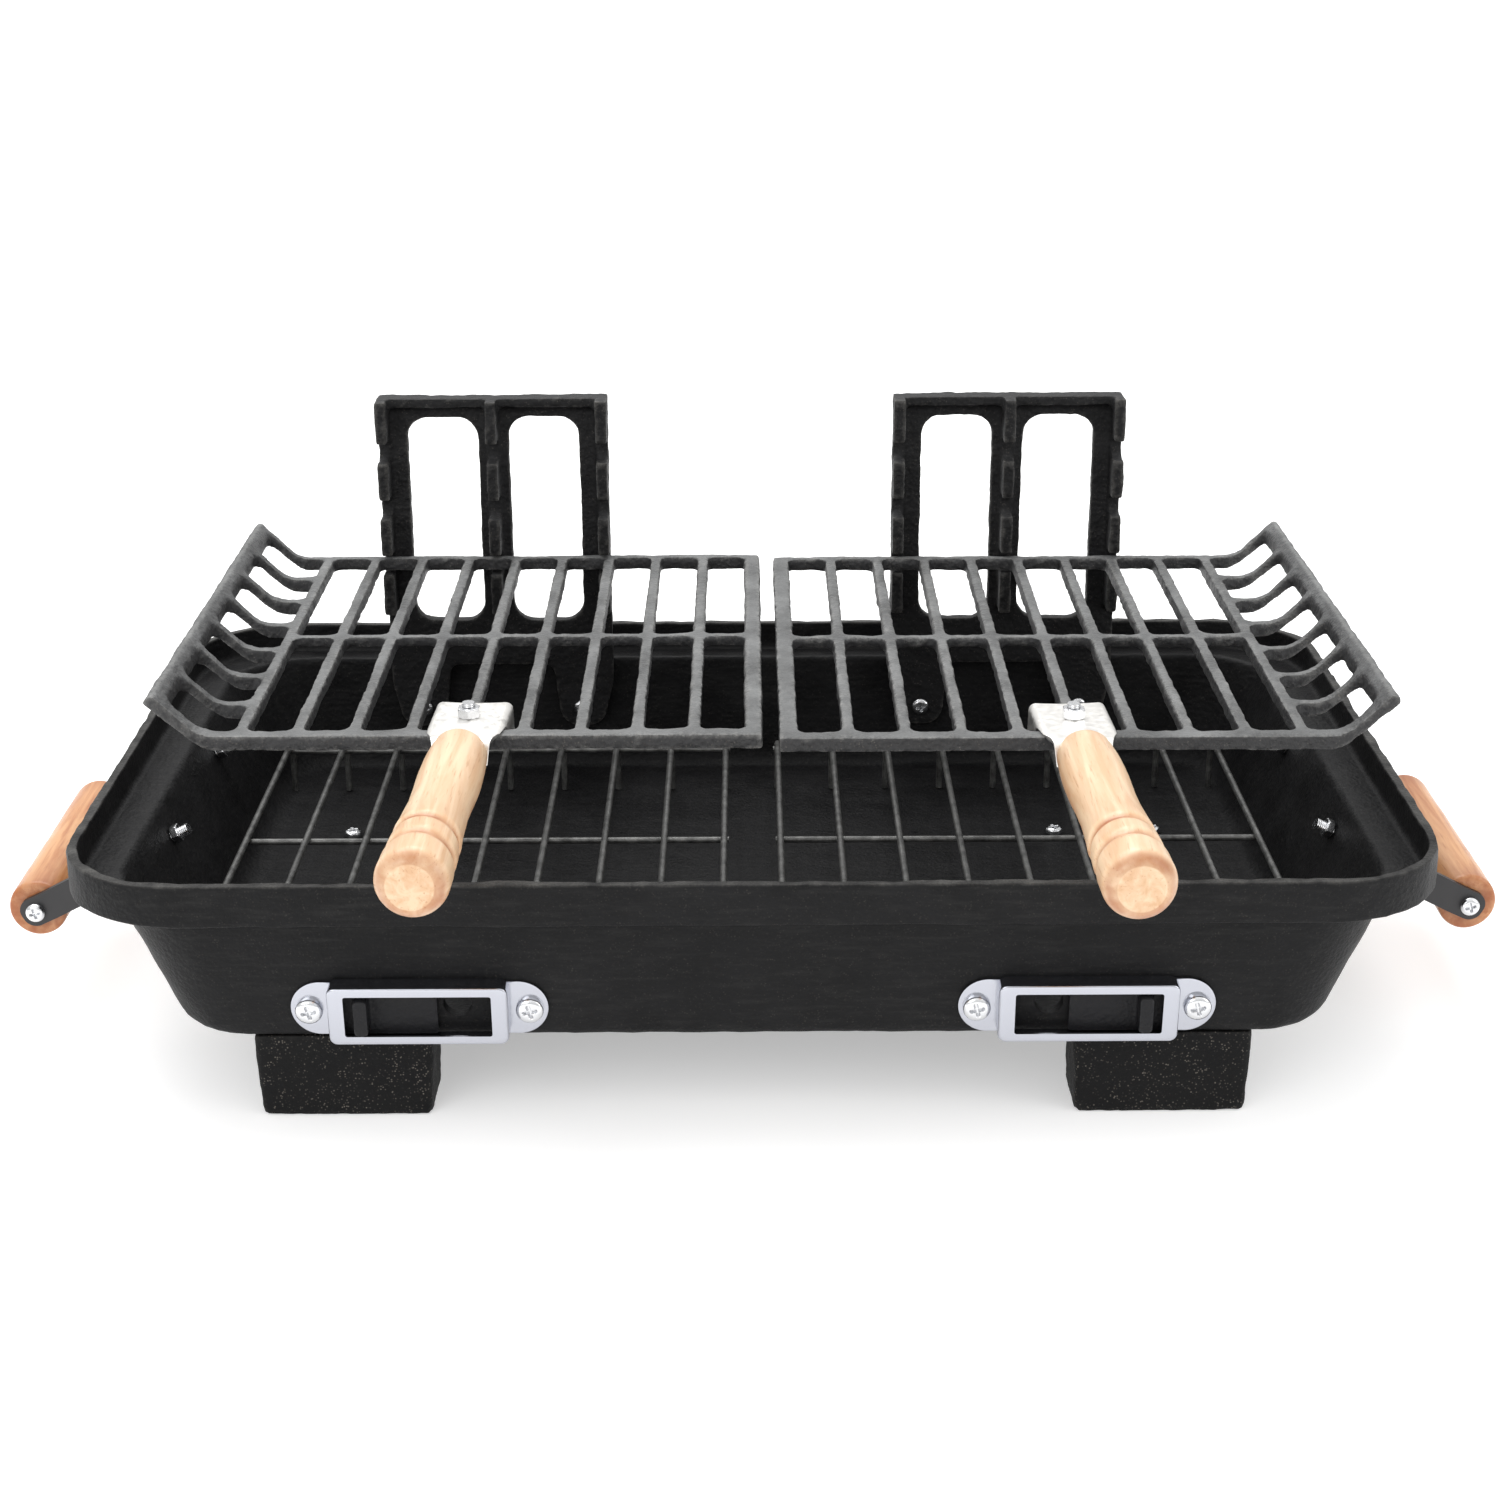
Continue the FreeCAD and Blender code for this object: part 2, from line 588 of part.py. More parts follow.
def grate_front(side):
    """The right grate hangs a little further forward in its notches than the left one."""
    if side > 0:
        return dim("grate_front") - dim("right_grate_forward")
    return dim("grate_front")


# ---------------------------------------------------------------- grate handles


def make_bracket(side, name):
    """A stamped clip: a plate over the front bar, with two ears and a nose folded down. It is
    modelled about its bolt, which it can be swung round."""
    body = new_body("bracket_" + name)
    half, gauge = dim("bracket_width") / 2, dim("bracket_sheet")
    plate = new_sketch(body, "XY_Plane")
    draw_outline(plate, rectangle(-half, half, dim("bracket_front"), dim("bracket_back"),
                                  gauge * 2))
    pad(body, plate, gauge)
    nose = new_sketch(body, "XZ_Plane", -dim("bracket_front"))
    nose_low = gauge - dim("bracket_nose_height")
    draw_outline(nose, [(-half * 0.8, nose_low, gauge * 3), (half * 0.8, nose_low, gauge * 3),
                        (half * 0.8, gauge), (-half * 0.8, gauge)])
    pad(body, nose, gauge, reverse=True)
    for edge in (-1, 1):
        ear = new_sketch(body, "YZ_Plane", (half - gauge / 2) * edge)
        low = gauge - dim("bracket_ear_height")
        front, rear = dim("bracket_ear_front"), dim("bracket_back") - gauge * 2
        draw_outline(ear, [(front, gauge), (front, low + gauge * 2), (front + gauge * 3, low),
                           (rear - gauge, low), (rear, low + gauge * 3), (rear, gauge)])
        pad(body, ear, gauge, midplane=True)
    bore = new_sketch(body, "XY_Plane", gauge * 2)
    draw_circle(bore, 0, dim("handle_boss_y"), dim("large_shank") + dim("hole_play"))
    pocket(body, bore)
    screw = new_sketch(body, "XZ_Plane")
    draw_circle(screw, 0, -dim("grip_axis_drop"), dim("small_shank") + dim("hole_play"))
    pocket(body, screw, midplane=True)
    x, y, swing = handle_point(side, as_size(0))
    keep(place(body, x, y, dim("grate_top"), swing=swing), "handle_bracket_" + name)


def handle_point(side, ahead):
    """Where a point of a handle's middle line, at y = ahead from the grate's front, goes when
    the handle is swung outwards about its bolt. Gives x, y and the swing in degrees."""
    swing = num("handle_splay") * side
    arm = dim("handle_boss_y") - ahead
    x = dim("grate_x") + dim("handle_bar_x") * side + arm * math.sin(math.radians(swing))
    y = grate_front(side) + dim("handle_boss_y") - arm * math.cos(math.radians(swing))
    return x, y, swing


def make_grip(side, name):
    """A turned wooden grip: round shoulder, swell, waist, a bead between two grooves, butt."""
    body = new_body("grip_" + name)
    length, half_groove, soft = dim("grip_length"), dim("grip_groove_half"), dim("grip_soft")
    pilot, depth = dim("small_shank") + dim("pilot_play"), dim("pilot_depth")
    first, second = dim("grip_groove_at"), dim("grip_second_at")
    turned(body, [
        (pilot, 0), (dim("grip_swell") - 1, 0, dim("grip_shoulder")),
        (dim("grip_swell"), dim("grip_swell_at"), soft * 2),
        (dim("grip_waist"), dim("grip_waist_at"), soft * 2),
        (dim("grip_bead"), first - half_groove), (dim("grip_neck"), first),
        (dim("grip_bead"), first + half_groove), (dim("grip_bead"), second - half_groove),
        (dim("grip_groove"), second), (dim("grip_butt"), second + half_groove),
        (dim("grip_butt"), length, dim("grip_end_round")), (0, length), (0, depth),
        (pilot, depth)])
    x, y, swing = handle_point(side, dim("bracket_front"))
    z = dim("grate_top") - dim("grip_axis_drop")
    keep(place(body, x, y, z, (1, 0, 0), 90, swing), "grate_grip_" + name)


# ---------------------------------------------------------------- coal racks


def make_rack(side, name):
    """Nine straight wires with bent-down ends, welded to three cross wires."""
    body = new_body("rack_" + name)
    wire = dim("rack_wire") / 2
    floor = num("tub_bottom") + num("floor_thickness")
    top, bend = num("rack_top") - wire.number, num("rack_bend")
    front, back = num("rack_front"), num("rack_back")
    path = new_sketch(body, "YZ_Plane", dim("rack_inner_x") * side)
    corner = [(front, floor), (front, top), (back, top), (back, floor)]
    points = [FreeCAD.Vector(y, z, 0) for y, z in corner]
    normal = FreeCAD.Vector(0, 0, 1)
    path.addGeometry(Part.LineSegment(points[0], points[1] - FreeCAD.Vector(0, bend, 0)))
    centre = FreeCAD.Vector(front + bend, top - bend, 0)
    path.addGeometry(Part.ArcOfCircle(Part.Circle(centre, normal, bend), math.pi / 2, math.pi))
    path.addGeometry(Part.LineSegment(FreeCAD.Vector(front + bend, top, 0),
                                      FreeCAD.Vector(back - bend, top, 0)))
    centre = FreeCAD.Vector(back - bend, top - bend, 0)
    path.addGeometry(Part.ArcOfCircle(Part.Circle(centre, normal, bend), 0, math.pi / 2))
    path.addGeometry(Part.LineSegment(points[2] - FreeCAD.Vector(0, bend, 0), points[3]))
    section = new_sketch(body, "XY_Plane", floor)
    draw_circle(section, dim("rack_inner_x") * side, dim("rack_front"), wire)
    pipe = body.newObject("PartDesign::AdditivePipe", body.Name + "_wire")
    pipe.Profile = section
    pipe.Spine = (path, [f"Edge{i}" for i in range(1, 6)])
    row_of(body, pipe, "X_Axis", dim("rack_pitch"), dim("rack_wires"), side < 0)
    low = dim("rack_top") - dim("rack_wire") * dim("rack_weld")
    for y in (dim("rack_cross_front"), dim("rack_cross_middle"), dim("rack_cross_rear")):
        cross = new_sketch(body, "YZ_Plane", (dim("rack_inner_x") - dim("rack_cross_end")) * side)
        draw_circle(cross, y, low, wire)
        length = dim("rack_pitch") * (dim("rack_wires") - 1) + dim("rack_cross_end") * 2
        pad(body, cross, length, reverse=side < 0)
    keep(place(body, 0, 0, 0), "coal_rack_" + name)


# ---------------------------------------------------------------- draught vents


def make_vent_frame(side, name):
    """A stamped frame: two round ears on the wall and a raised box with a window."""
    body = new_body("vent_frame_" + name)
    gauge = dim("vent_sheet")
    width, height = dim("vent_frame_width"), dim("vent_frame_height")
    box = new_sketch(body, "XZ_Plane")
    draw_outline(box, centred_rectangle(width, height, gauge * 2))
    pad(body, box, dim("vent_frame_rise"))
    for end in (-1, 1):
        ear = new_sketch(body, "XZ_Plane")
        draw_circle(ear, (dim("vent_ear_reach") - dim("vent_ear_radius")) * end, 0,
                    dim("vent_ear_radius"))
        pad(body, ear, gauge)
    inside = new_sketch(body, "XZ_Plane")
    draw_outline(inside, centred_rectangle(width - gauge * 2, height - gauge * 2, gauge))
    pocket(body, inside, dim("vent_frame_rise") - gauge, reverse=True)
    window = new_sketch(body, "XZ_Plane")
    draw_outline(window, centred_rectangle(dim("vent_window_width"), dim("vent_window_height"),
                                           gauge))
    pocket(body, window, midplane=True)
    for end in (-1, 1):
        bore = new_sketch(body, "XZ_Plane")
        draw_circle(bore, dim("vent_screw_x") * end, 0, dim("large_shank") + dim("hole_play"))
        pocket(body, bore, midplane=True)
    keep(on_front_wall(body, side, 0), "vent_frame_" + name)


def make_damper(side, name):
    """A cast slide with an upright finger tab, which runs inside the vent frame."""
    body = new_body("damper_" + name)
    middle, tab = dim("damper_x") * -side, dim("damper_tab_x") * -side
    half_width, half_tab = dim("damper_width") / 2, dim("damper_tab_width") / 2
    plate = new_sketch(body, "XZ_Plane", dim("running_gap"))
    draw_outline(plate, rectangle(middle - half_width, middle + half_width,
                                  -(dim("damper_height") / 2), dim("damper_height") / 2, 1))
    pad(body, plate, dim("damper_thickness"))
    finger = new_sketch(body, "XZ_Plane", dim("running_gap"))
    draw_outline(finger, rectangle(tab - half_tab, tab + half_tab,
                                   -(dim("damper_tab_height") / 2),
                                   dim("damper_tab_height") / 2, dim("damper_tab_round")))
    pad(body, finger, dim("damper_tab_reach"))
    keep(on_front_wall(body, side, 0), "damper_" + name)


def on_front_wall(item, side, gap):
    """Seat a sub-part, built with its back on y = 0, on the leaning front wall."""
    y = -wall_y(num("vent_z")) - gap
    return place(item, dim("vent_x") * side, y, dim("vent_z"), (1, 0, 0), WALL_LEAN)


# ---------------------------------------------------------------- carrying handles


# a strap's eye is a leaning rhombus with round corners; its half sizes are shares of the radius
EYE_ACROSS = 1.45
EYE_NEAR = 1.35
EYE_SHIFT = 0.45
EYE_ROUND = 0.9


def make_strap(side, name, end, end_name):
    """A flat steel arm with an eye at the grip and a flange bolted to the end wall."""
    body = new_body(f"strap_{name}_{end_name}")
    gauge, half = dim("strap_thickness"), dim("strap_width") / 2
    lean = math.radians(END_LEAN)
    up = (math.sin(lean), math.cos(lean))
    root_x, root_z = wall_x(num("strap_bolt_z")) + num("seat_gap"), num("strap_bolt_z")
    eye = dim("strap_eye_radius")
    low = (half * -up[0] + root_x, half * -up[1] + root_z)
    high = (half * up[0] + root_x, half * up[1] + root_z)
    web = new_sketch(body, "XZ_Plane", -(dim("carry_length") / 2) * end)
    across, near, shift = eye * EYE_ACROSS, eye * EYE_NEAR, eye * EYE_SHIFT
    eye_x, eye_z, round_eye = dim("carry_x"), dim("carry_z"), eye * EYE_ROUND
    corners = [low, (eye_x - across, eye_z - shift, round_eye),
               (eye_x + shift, eye_z - near, round_eye),
               (eye_x + across, eye_z + shift, round_eye), (eye_x - shift, eye_z + near), high]
    draw_outline(web, [(as_size(c[0]) * side,) + c[1:] for c in corners][::side])
    pad(body, web, gauge, reverse=end > 0)
    flange = new_sketch(body, "XZ_Plane", -(dim("carry_length") / 2 + gauge) * end)
    out = (math.cos(lean), -math.sin(lean))
    outer_low = (low[0] + gauge * out[0], low[1] + gauge * out[1])
    outer_high = (high[0] + gauge * out[0], high[1] + gauge * out[1])
    draw_outline(flange, [(c[0] * side, c[1])
                          for c in (low, outer_low, outer_high, high)][::side])
    pad(body, flange, dim("strap_flange_length") + gauge, reverse=end < 0)
    place(body, 0, 0, 0)
    bolt = bolt_hole(dim("small_shank") + dim("hole_play"), root_x * side,
                     dim("strap_bolt_y") * end, root_z, (0, 1, 0), side * (90 + END_LEAN))
    screw = bolt_hole(dim("small_shank") + dim("hole_play"), dim("carry_x") * side,
                      dim("carry_length") / 2 * end, dim("carry_z"), (1, 0, 0), 90)
    keep(drilled("strap_plate", body, [bolt, screw]), f"strap_{name}_{end_name}")


def make_carry_grip(side, name):
    """A plain dowel with a pilot hole in each end."""
    body = new_body("carry_grip_" + name)
    half = dim("carry_length") / 2
    ring = new_sketch(body, "XZ_Plane")
    draw_circle(ring, 0, 0, dim("carry_radius"))
    pad(body, ring, dim("carry_length") - dim("seat_gap") * 2, midplane=True)
    fillet_edges(body, 1, lambda e: e.Curve.TypeId == "Part::GeomCircle")
    for end in (-1, 1):
        pilot = new_sketch(body, "XZ_Plane", -half * end)
        draw_circle(pilot, 0, 0, dim("small_shank") + dim("pilot_play"))
        pocket(body, pilot, dim("pilot_depth"), reverse=end > 0)
    keep(place(body, dim("carry_x") * side, 0, dim("carry_z")), "carry_grip_" + name)


# ---------------------------------------------------------------- fasteners


def make_screw(name, size, length):
    """A screw, head up from z = 0 and shank down; a pattern for the real ones."""
    body = new_body(name)
    shank, head, rise = dim(size + "_shank"), dim(size + "_head"), dim(size + "_head_height")
    turned(body, [(0, -as_size(length)), (shank, -as_size(length)), (shank, 0), (head, 0),
                  (head, rise / 2), (head - rise / 2, rise), (0, rise)])
    return body


def make_nut(name, size):
    """A hexagon nut that stands on z = 0; the bore clears the shank."""
    body = new_body(name)
    flat = dim(size + "_nut")
    sketch = new_sketch(body, "XY_Plane")
    corner = flat.number / math.cos(math.pi / 6)
    draw_outline(sketch, [(corner * math.cos(math.pi / 3 * k), corner * math.sin(math.pi / 3 * k))
                          for k in range(6)])
    pad(body, sketch, dim(size + "_nut_height"))
    bore = new_sketch(body, "XY_Plane")
    draw_circle(bore, 0, 0, dim(size + "_shank") + dim("seat_gap"))
    pocket(body, bore, midplane=True)
    return body


def aim(direction):
    """The turn that points Z along a direction."""
    return FreeCAD.Rotation(FreeCAD.Vector(0, 0, 1), FreeCAD.Vector(*direction))


def copies(pattern, seats, label):
    """One sub-part of identical fasteners, each seated at (x, y, z) and pointing along axis."""
    doc.recompute()
    solids = []
    for (x, y, z), direction in seats:
        solid = pattern.Tip.Shape.copy()
        seat = FreeCAD.Placement(FreeCAD.Vector(x, y, z), aim(direction))
        solid.Placement = seat.multiply(solid.Placement)
        solids.append(solid)
    item = doc.addObject("Part::Feature", label)
    item.Shape = Part.makeCompound(solids)
    item.Placement = FreeCAD.Placement(FreeCAD.Vector(0, num("bowl_y"), 0), FreeCAD.Rotation())
    return keep(item, label)


def make_fasteners():
    wall = num("wall")
    gap = num("seat_gap")
    lean, end_lean = math.radians(WALL_LEAN), math.radians(END_LEAN)
    floor = num("tub_bottom") + num("floor_thickness")
    leg_seats = [(num("leg_x") * s + num("leg_bolt_x") * a, num("leg_bolt_y") * e)
                 for s in (-1, 1) for a in (-1, 1) for e in (-1, 1)]
    end = num("thread_end")
    stack = num("floor_thickness") + num("leg_plate") + num("small_nut_height") + end
    leg_bolt = make_screw("leg_bolt", "small", stack)
    copies(leg_bolt, [((x, y, floor + gap), (0, 0, 1)) for x, y in leg_seats], "leg_bolts")
    small_nut = make_nut("small_nut_pattern", "small")
    below = num("tub_bottom") - num("leg_plate") - gap
    copies(small_nut, [((x, y, below), (0, 0, -1)) for x, y in leg_seats], "leg_nuts")

    support_z = num("support_lug_z")
    support_seats = [num("support_x") * s + num("support_lug_x") * e
                     for s in (-1, 1) for e in (-1, 1)]
    head_y = num("support_back") - num("support_plate") - gap
    nut_y = wall_y(support_z + num("small_nut")) + gap * 4
    support_bolt = make_screw("support_bolt", "small",
                              nut_y - head_y + num("small_nut_height") + end)
    copies(support_bolt, [((x, head_y, support_z), (0, -1, 0)) for x in support_seats],
           "support_bolts")
    copies(small_nut, [((x, nut_y, support_z), (0, 1, 0)) for x in support_seats],
           "support_nuts")

    out = (0, -math.cos(lean), -math.sin(lean))
    into = (0, math.cos(lean), math.sin(lean))
    sheet_face = num("vent_sheet") + gap
    inner_face = wall_run(wall_y(num("vent_z")), WALL_LEAN, num("tub_depth") / 2 - wall,
                          num("base_depth") / 2 - wall, num("vent_z")) + gap * 4
    y0, z0 = -wall_y(num("vent_z")), num("vent_z")
    vent_seats = [num("vent_x") * s + num("vent_screw_x") * e for s in (-1, 1) for e in (-1, 1)]
    vent_screw = make_screw("vent_screw", "large",
                            sheet_face + inner_face + num("large_nut_height") + end)
    copies(vent_screw, [((x, y0 + out[1] * sheet_face, z0 + out[2] * sheet_face), out)
                        for x in vent_seats], "vent_screws")
    large_nut = make_nut("large_nut_pattern", "large")
    copies(large_nut, [((x, y0 + into[1] * inner_face, z0 + into[2] * inner_face), into)
                       for x in vent_seats], "vent_nuts")

    strap_z = num("strap_bolt_z")
    strap_face = num("strap_thickness") + gap * 2
    end_run = wall_run(wall_x(strap_z), END_LEAN, num("tub_length") / 2 - wall,
                       (num("base_length") - wall) / 2, strap_z) + gap * 4
    strap_bolt = make_screw("strap_bolt", "small",
                            strap_face + end_run + num("small_nut_height") + end * 2)
    heads, nuts, grip_screws = [], [], []
    for s in (-1, 1):
        for e in (-1, 1):
            root = (wall_x(strap_z) * s, num("strap_bolt_y") * e, strap_z)
            away = (s * math.cos(end_lean), 0, -math.sin(end_lean))
            inward = (-away[0], 0, -away[2])
            heads.append(((root[0] + away[0] * strap_face, root[1], root[2]
                           + away[2] * strap_face), away))
            nuts.append(((root[0] + inward[0] * end_run, root[1], root[2]
                          + inward[2] * end_run), inward))
            face = num("carry_length") / 2 + num("strap_thickness") + gap
            grip_screws.append(((num("carry_x") * s, face * e, num("carry_z")), (0, e, 0)))
    copies(strap_bolt, heads, "strap_bolts")
    copies(small_nut, nuts, "strap_nuts")
    grip_screw = make_screw("carry_screw", "small", num("carry_screw_length"))
    copies(grip_screw, grip_screws, "carry_grip_screws")

    clamp = num("grate_bar_height") + num("bracket_sheet") + num("large_nut_height") + end
    handle_bolt = make_screw("handle_bolt", "large", clamp)
    long_screw = make_screw("handle_screw", "grip", num("grip_screw_length"))
    for name, side in SIDES:
        x = num("grate_x") + num("handle_bar_x") * side
        y = grate_front(side).number
        bolt_y = y + num("handle_boss_y")
        under = num("grate_top") - num("grate_bar_height") - gap
        over = num("grate_top") + num("bracket_sheet") + gap
        copies(handle_bolt, [((x, bolt_y, under), (0, 0, -1))], "handle_bolt_" + name)
        copies(large_nut, [((x, bolt_y, over), (0, 0, 1))], "handle_nut_" + name)
        behind_nose = dim("bracket_front") + dim("bracket_sheet") + gap
        nose_x, nose_y, swing = handle_point(side, behind_nose)
        axis_z = num("grate_top") - num("grip_axis_drop")
        along = (-math.sin(math.radians(swing)), math.cos(math.radians(swing)), 0)
        copies(long_screw, [((nose_x.number, nose_y.number, axis_z), along)],
               "grip_screw_" + name)


# ---------------------------------------------------------------- build and write

make_firebox()
for side_name, side_sign in SIDES:
    make_leg(side_sign, side_name)
    make_support(side_sign, side_name)
    make_grate(side_sign, side_name)
    make_bracket(side_sign, side_name)
    make_grip(side_sign, side_name)
    make_rack(side_sign, side_name)
    make_vent_frame(side_sign, side_name)
    make_damper(side_sign, side_name)
    make_carry_grip(side_sign, side_name)
    for end_name, end_sign in ENDS:
        make_strap(side_sign, side_name, end_sign, end_name)
make_fasteners()
doc.recompute()

faults = [o.Name for o in doc.Objects if "Invalid" in o.State or "Error" in o.State]
for part in PARTS:
    if part.Shape.isNull() or not part.Shape.isValid():
        faults.append(part.Label)
if faults:
    raise RuntimeError("failed: " + ", ".join(faults))

os.makedirs("parts", exist_ok=True)
for part in PARTS:
    part.Shape.exportStep(f"parts/{part.Label}.step")
    box = part.Shape.BoundBox
    print(f"{part.Label:24s} {len(part.Shape.Solids)} solids {part.Shape.Volume / 1000:9.2f} cm3 "
          f"z {box.ZMin:.1f} to {box.ZMax:.1f}")
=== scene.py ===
import math

import bmesh
import bpy
import numpy as np
from mathutils import Euler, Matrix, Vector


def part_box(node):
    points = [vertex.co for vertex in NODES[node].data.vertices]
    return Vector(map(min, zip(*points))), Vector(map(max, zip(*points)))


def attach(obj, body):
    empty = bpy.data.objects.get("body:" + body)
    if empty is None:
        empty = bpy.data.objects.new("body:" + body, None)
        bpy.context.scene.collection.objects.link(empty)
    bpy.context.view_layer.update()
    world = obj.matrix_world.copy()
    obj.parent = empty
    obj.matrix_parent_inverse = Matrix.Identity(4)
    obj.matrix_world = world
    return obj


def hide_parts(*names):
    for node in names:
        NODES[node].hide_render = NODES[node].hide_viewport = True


# Looks of a cast-iron table hibachi. Shapes are worked out in millimetres in the CAD frame (+X to
# the right, front towards -Y, +Z up) and become metres when they are put into a mesh.

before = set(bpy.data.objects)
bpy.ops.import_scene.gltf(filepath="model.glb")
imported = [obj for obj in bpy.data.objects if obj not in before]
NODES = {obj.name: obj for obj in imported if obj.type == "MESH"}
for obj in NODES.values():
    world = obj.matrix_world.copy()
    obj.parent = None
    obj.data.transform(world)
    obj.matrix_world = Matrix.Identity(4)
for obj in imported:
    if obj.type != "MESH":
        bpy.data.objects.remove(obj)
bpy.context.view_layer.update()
MM = 0.001
MERGE = 2e-6  # metres; closer points are one
ROOT = "firebox_assembly"
SIDES = (("left", -1), ("right", 1))


def box(node):
    """Lowest and highest corner of a CAD node, in millimetres."""
    low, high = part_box(node)
    return np.array(low) / MM, np.array(high) / MM


# ---------------------------------------------------------------- surfaces


def surface(grid, wrap_rows=False, wrap_columns=False, caps=False):
    """Points on a grid (rows, columns, xyz) joined to their neighbours by quads. Wrapping joins
    the last row or column to the first; caps close the first and last row with one face each."""
    rows, columns = grid.shape[:2]
    row = np.arange(rows if wrap_rows else rows - 1)[:, None]
    column = np.arange(columns if wrap_columns else columns - 1)[None, :]
    after_row, after_column = (row + 1) % rows, (column + 1) % columns
    quads = np.stack([row * columns + column, row * columns + after_column,
                      after_row * columns + after_column, after_row * columns + column], axis=-1)
    ends = []
    if caps:
        ends = [np.arange(columns)[::-1], np.arange(columns) + (rows - 1) * columns]
    return grid.reshape(-1, 3), quads.reshape(-1, 4), ends


def joined(shapes):
    """Several shapes as one, their points numbered one after the other."""
    starts = np.cumsum([0] + [len(points) for points, _, _ in shapes])
    points = np.concatenate([points for points, _, _ in shapes])
    quads = np.concatenate([quads + start for (_, quads, _), start in zip(shapes, starts)])
    ends = [face + start for (_, _, ends), start in zip(shapes, starts) for face in ends]
    return points, quads, ends


def moved(shape, origin, x_axis, y_axis, z_axis):
    """A shape drawn about the origin, carried to origin with its axes turned to those given."""
    points, quads, ends = shape
    turn = np.stack([x_axis, y_axis, z_axis])
    return points @ turn + np.asarray(origin), quads, ends


def eased(corners, ease, steps=6):
    """The run through corners with each inner corner replaced by a quadratic curve that leaves
    the two sides at distance ease from it, or at half the side where that is shorter."""
    corners = np.asarray(corners, dtype=float)
    reach = np.broadcast_to(np.asarray(ease, dtype=float), (len(corners),))
    blend = np.linspace(0, 1, steps)[:, None]
    run = [corners[:1]]
    for before, corner, after, wanted in zip(corners, corners[1:], corners[2:], reach[1:]):
        into, out = before - corner, after - corner
        into_length, out_length = np.linalg.norm(into), np.linalg.norm(out)
        cut = min(wanted, into_length * 0.49, out_length * 0.49)
        first = corner + into / into_length * cut
        last = corner + out / out_length * cut
        run.append((1 - blend) ** 2 * first + 2 * blend * (1 - blend) * corner + blend ** 2 * last)
    run.append(corners[-1:])
    return np.concatenate(run)


def spaced(run, step):
    """The same run with extra points, so that no two neighbours are further apart than step."""
    gaps = np.linalg.norm(np.diff(run, axis=0), axis=1)
    along = np.concatenate([[0], np.cumsum(gaps)])
    marks = [np.linspace(a, b, max(2, int(np.ceil((b - a) / step)) + 1))[:-1]
             for a, b in zip(along, along[1:]) if b > a]
    marks = np.concatenate(marks + [along[-1:]])
    return np.stack([np.interp(marks, along, run[:, k]) for k in range(run.shape[1])], axis=1)


def turned(profile, around=48):
    """A profile of (radius, height) points carried round the Z axis."""
    angle = np.linspace(0, 2 * math.pi, around, endpoint=False)
    radius, height = profile[:, 0, None], profile[:, 1, None]
    grid = np.stack([radius * np.cos(angle), radius * np.sin(angle),
                     height + 0 * angle], axis=-1)
    return surface(grid, wrap_columns=True)


def ring_steps(corner, along_x, along_y):
    """One trip round a rounded rectangle. For each step: where it lies between the corner
    centres, as a share of their half distances, and the outward direction of the corner arc."""
    steps = []
    for quarter, (sx, sy) in enumerate(((1, 1), (-1, 1), (-1, -1), (1, -1))):
        angle = np.linspace(0, math.pi / 2, corner) + quarter * math.pi / 2
        steps.append(np.stack([sx + 0 * angle, sy + 0 * angle, np.cos(angle), np.sin(angle)], 1))
        count = along_x if quarter % 2 == 0 else along_y
        share = np.linspace(1, -1, count + 2)[1:-1]
        end = np.array([0.0, 1, 0, 1]) if quarter % 2 == 0 else np.array([-1.0, 0, -1, 0])
        side = np.tile(end, (count, 1))
        side[:, 0 if quarter % 2 == 0 else 1] = share
        steps.append(side if quarter < 2 else -side)
    return np.concatenate(steps)


def ring_loft(stations, steps):
    """Rounded rectangles (half length, half depth, corner radius, height), one row each."""
    half_x, half_y, radius, height = (column[:, None] for column in np.asarray(stations).T)
    share_x, share_y, out_x, out_y = steps.T
    return np.stack([(half_x - radius) * share_x + radius * out_x,
                     (half_y - radius) * share_y + radius * out_y,
                     height + 0 * share_x], axis=-1)


def tube(path, radius, across, around=12):
    """A round wire along a path that lies in one plane; across is square to that plane. Each
    ring is centred on the path and stands square to it."""
    along = np.gradient(path, axis=0)
    along /= np.linalg.norm(along, axis=1)[:, None]
    up = np.cross(np.asarray(across, dtype=float), along)
    angle = np.linspace(0, 2 * math.pi, around, endpoint=False)[None, :, None]
    grid = path[:, None] + radius * (np.cos(angle) * np.asarray(across, dtype=float)
                                     + np.sin(angle) * up[:, None])
    return surface(grid, wrap_columns=True, caps=True)


def waves(points, length, seed, count=20):
    """Unevenness between about -1 and 1: the sum of plane waves in seeded random directions,
    with wavelengths from 0.6 to 1.7 times length."""
    draw = np.random.default_rng(seed)
    direction = draw.normal(size=(count, 3))
    direction /= np.linalg.norm(direction, axis=1)[:, None]
    number = 2 * math.pi / (length * draw.uniform(0.6, 1.7, count))
    phase = draw.uniform(0, 2 * math.pi, count)
    total = np.sin(points @ (direction * number[:, None]).T + phase).sum(axis=1)
    return total / math.sqrt(count * 1.5)


# ---------------------------------------------------------------- meshes


def read_points(mesh):
    """The mesh's points in millimetres, one row each."""
    flat = np.empty(len(mesh.vertices) * 3)
    mesh.vertices.foreach_get("co", flat)
    return flat.reshape(-1, 3) / MM


def write_points(mesh, points):
    """Moves the mesh's points to these places in millimetres."""
    mesh.vertices.foreach_set("co", (points * MM).ravel())
    mesh.update()


def read_normals(mesh):
    """The outward direction at each point of the mesh."""
    flat = np.empty(len(mesh.vertices) * 3, dtype=np.float32)
    mesh.vertex_normals.foreach_get("vector", flat)
    return flat.reshape(-1, 3)


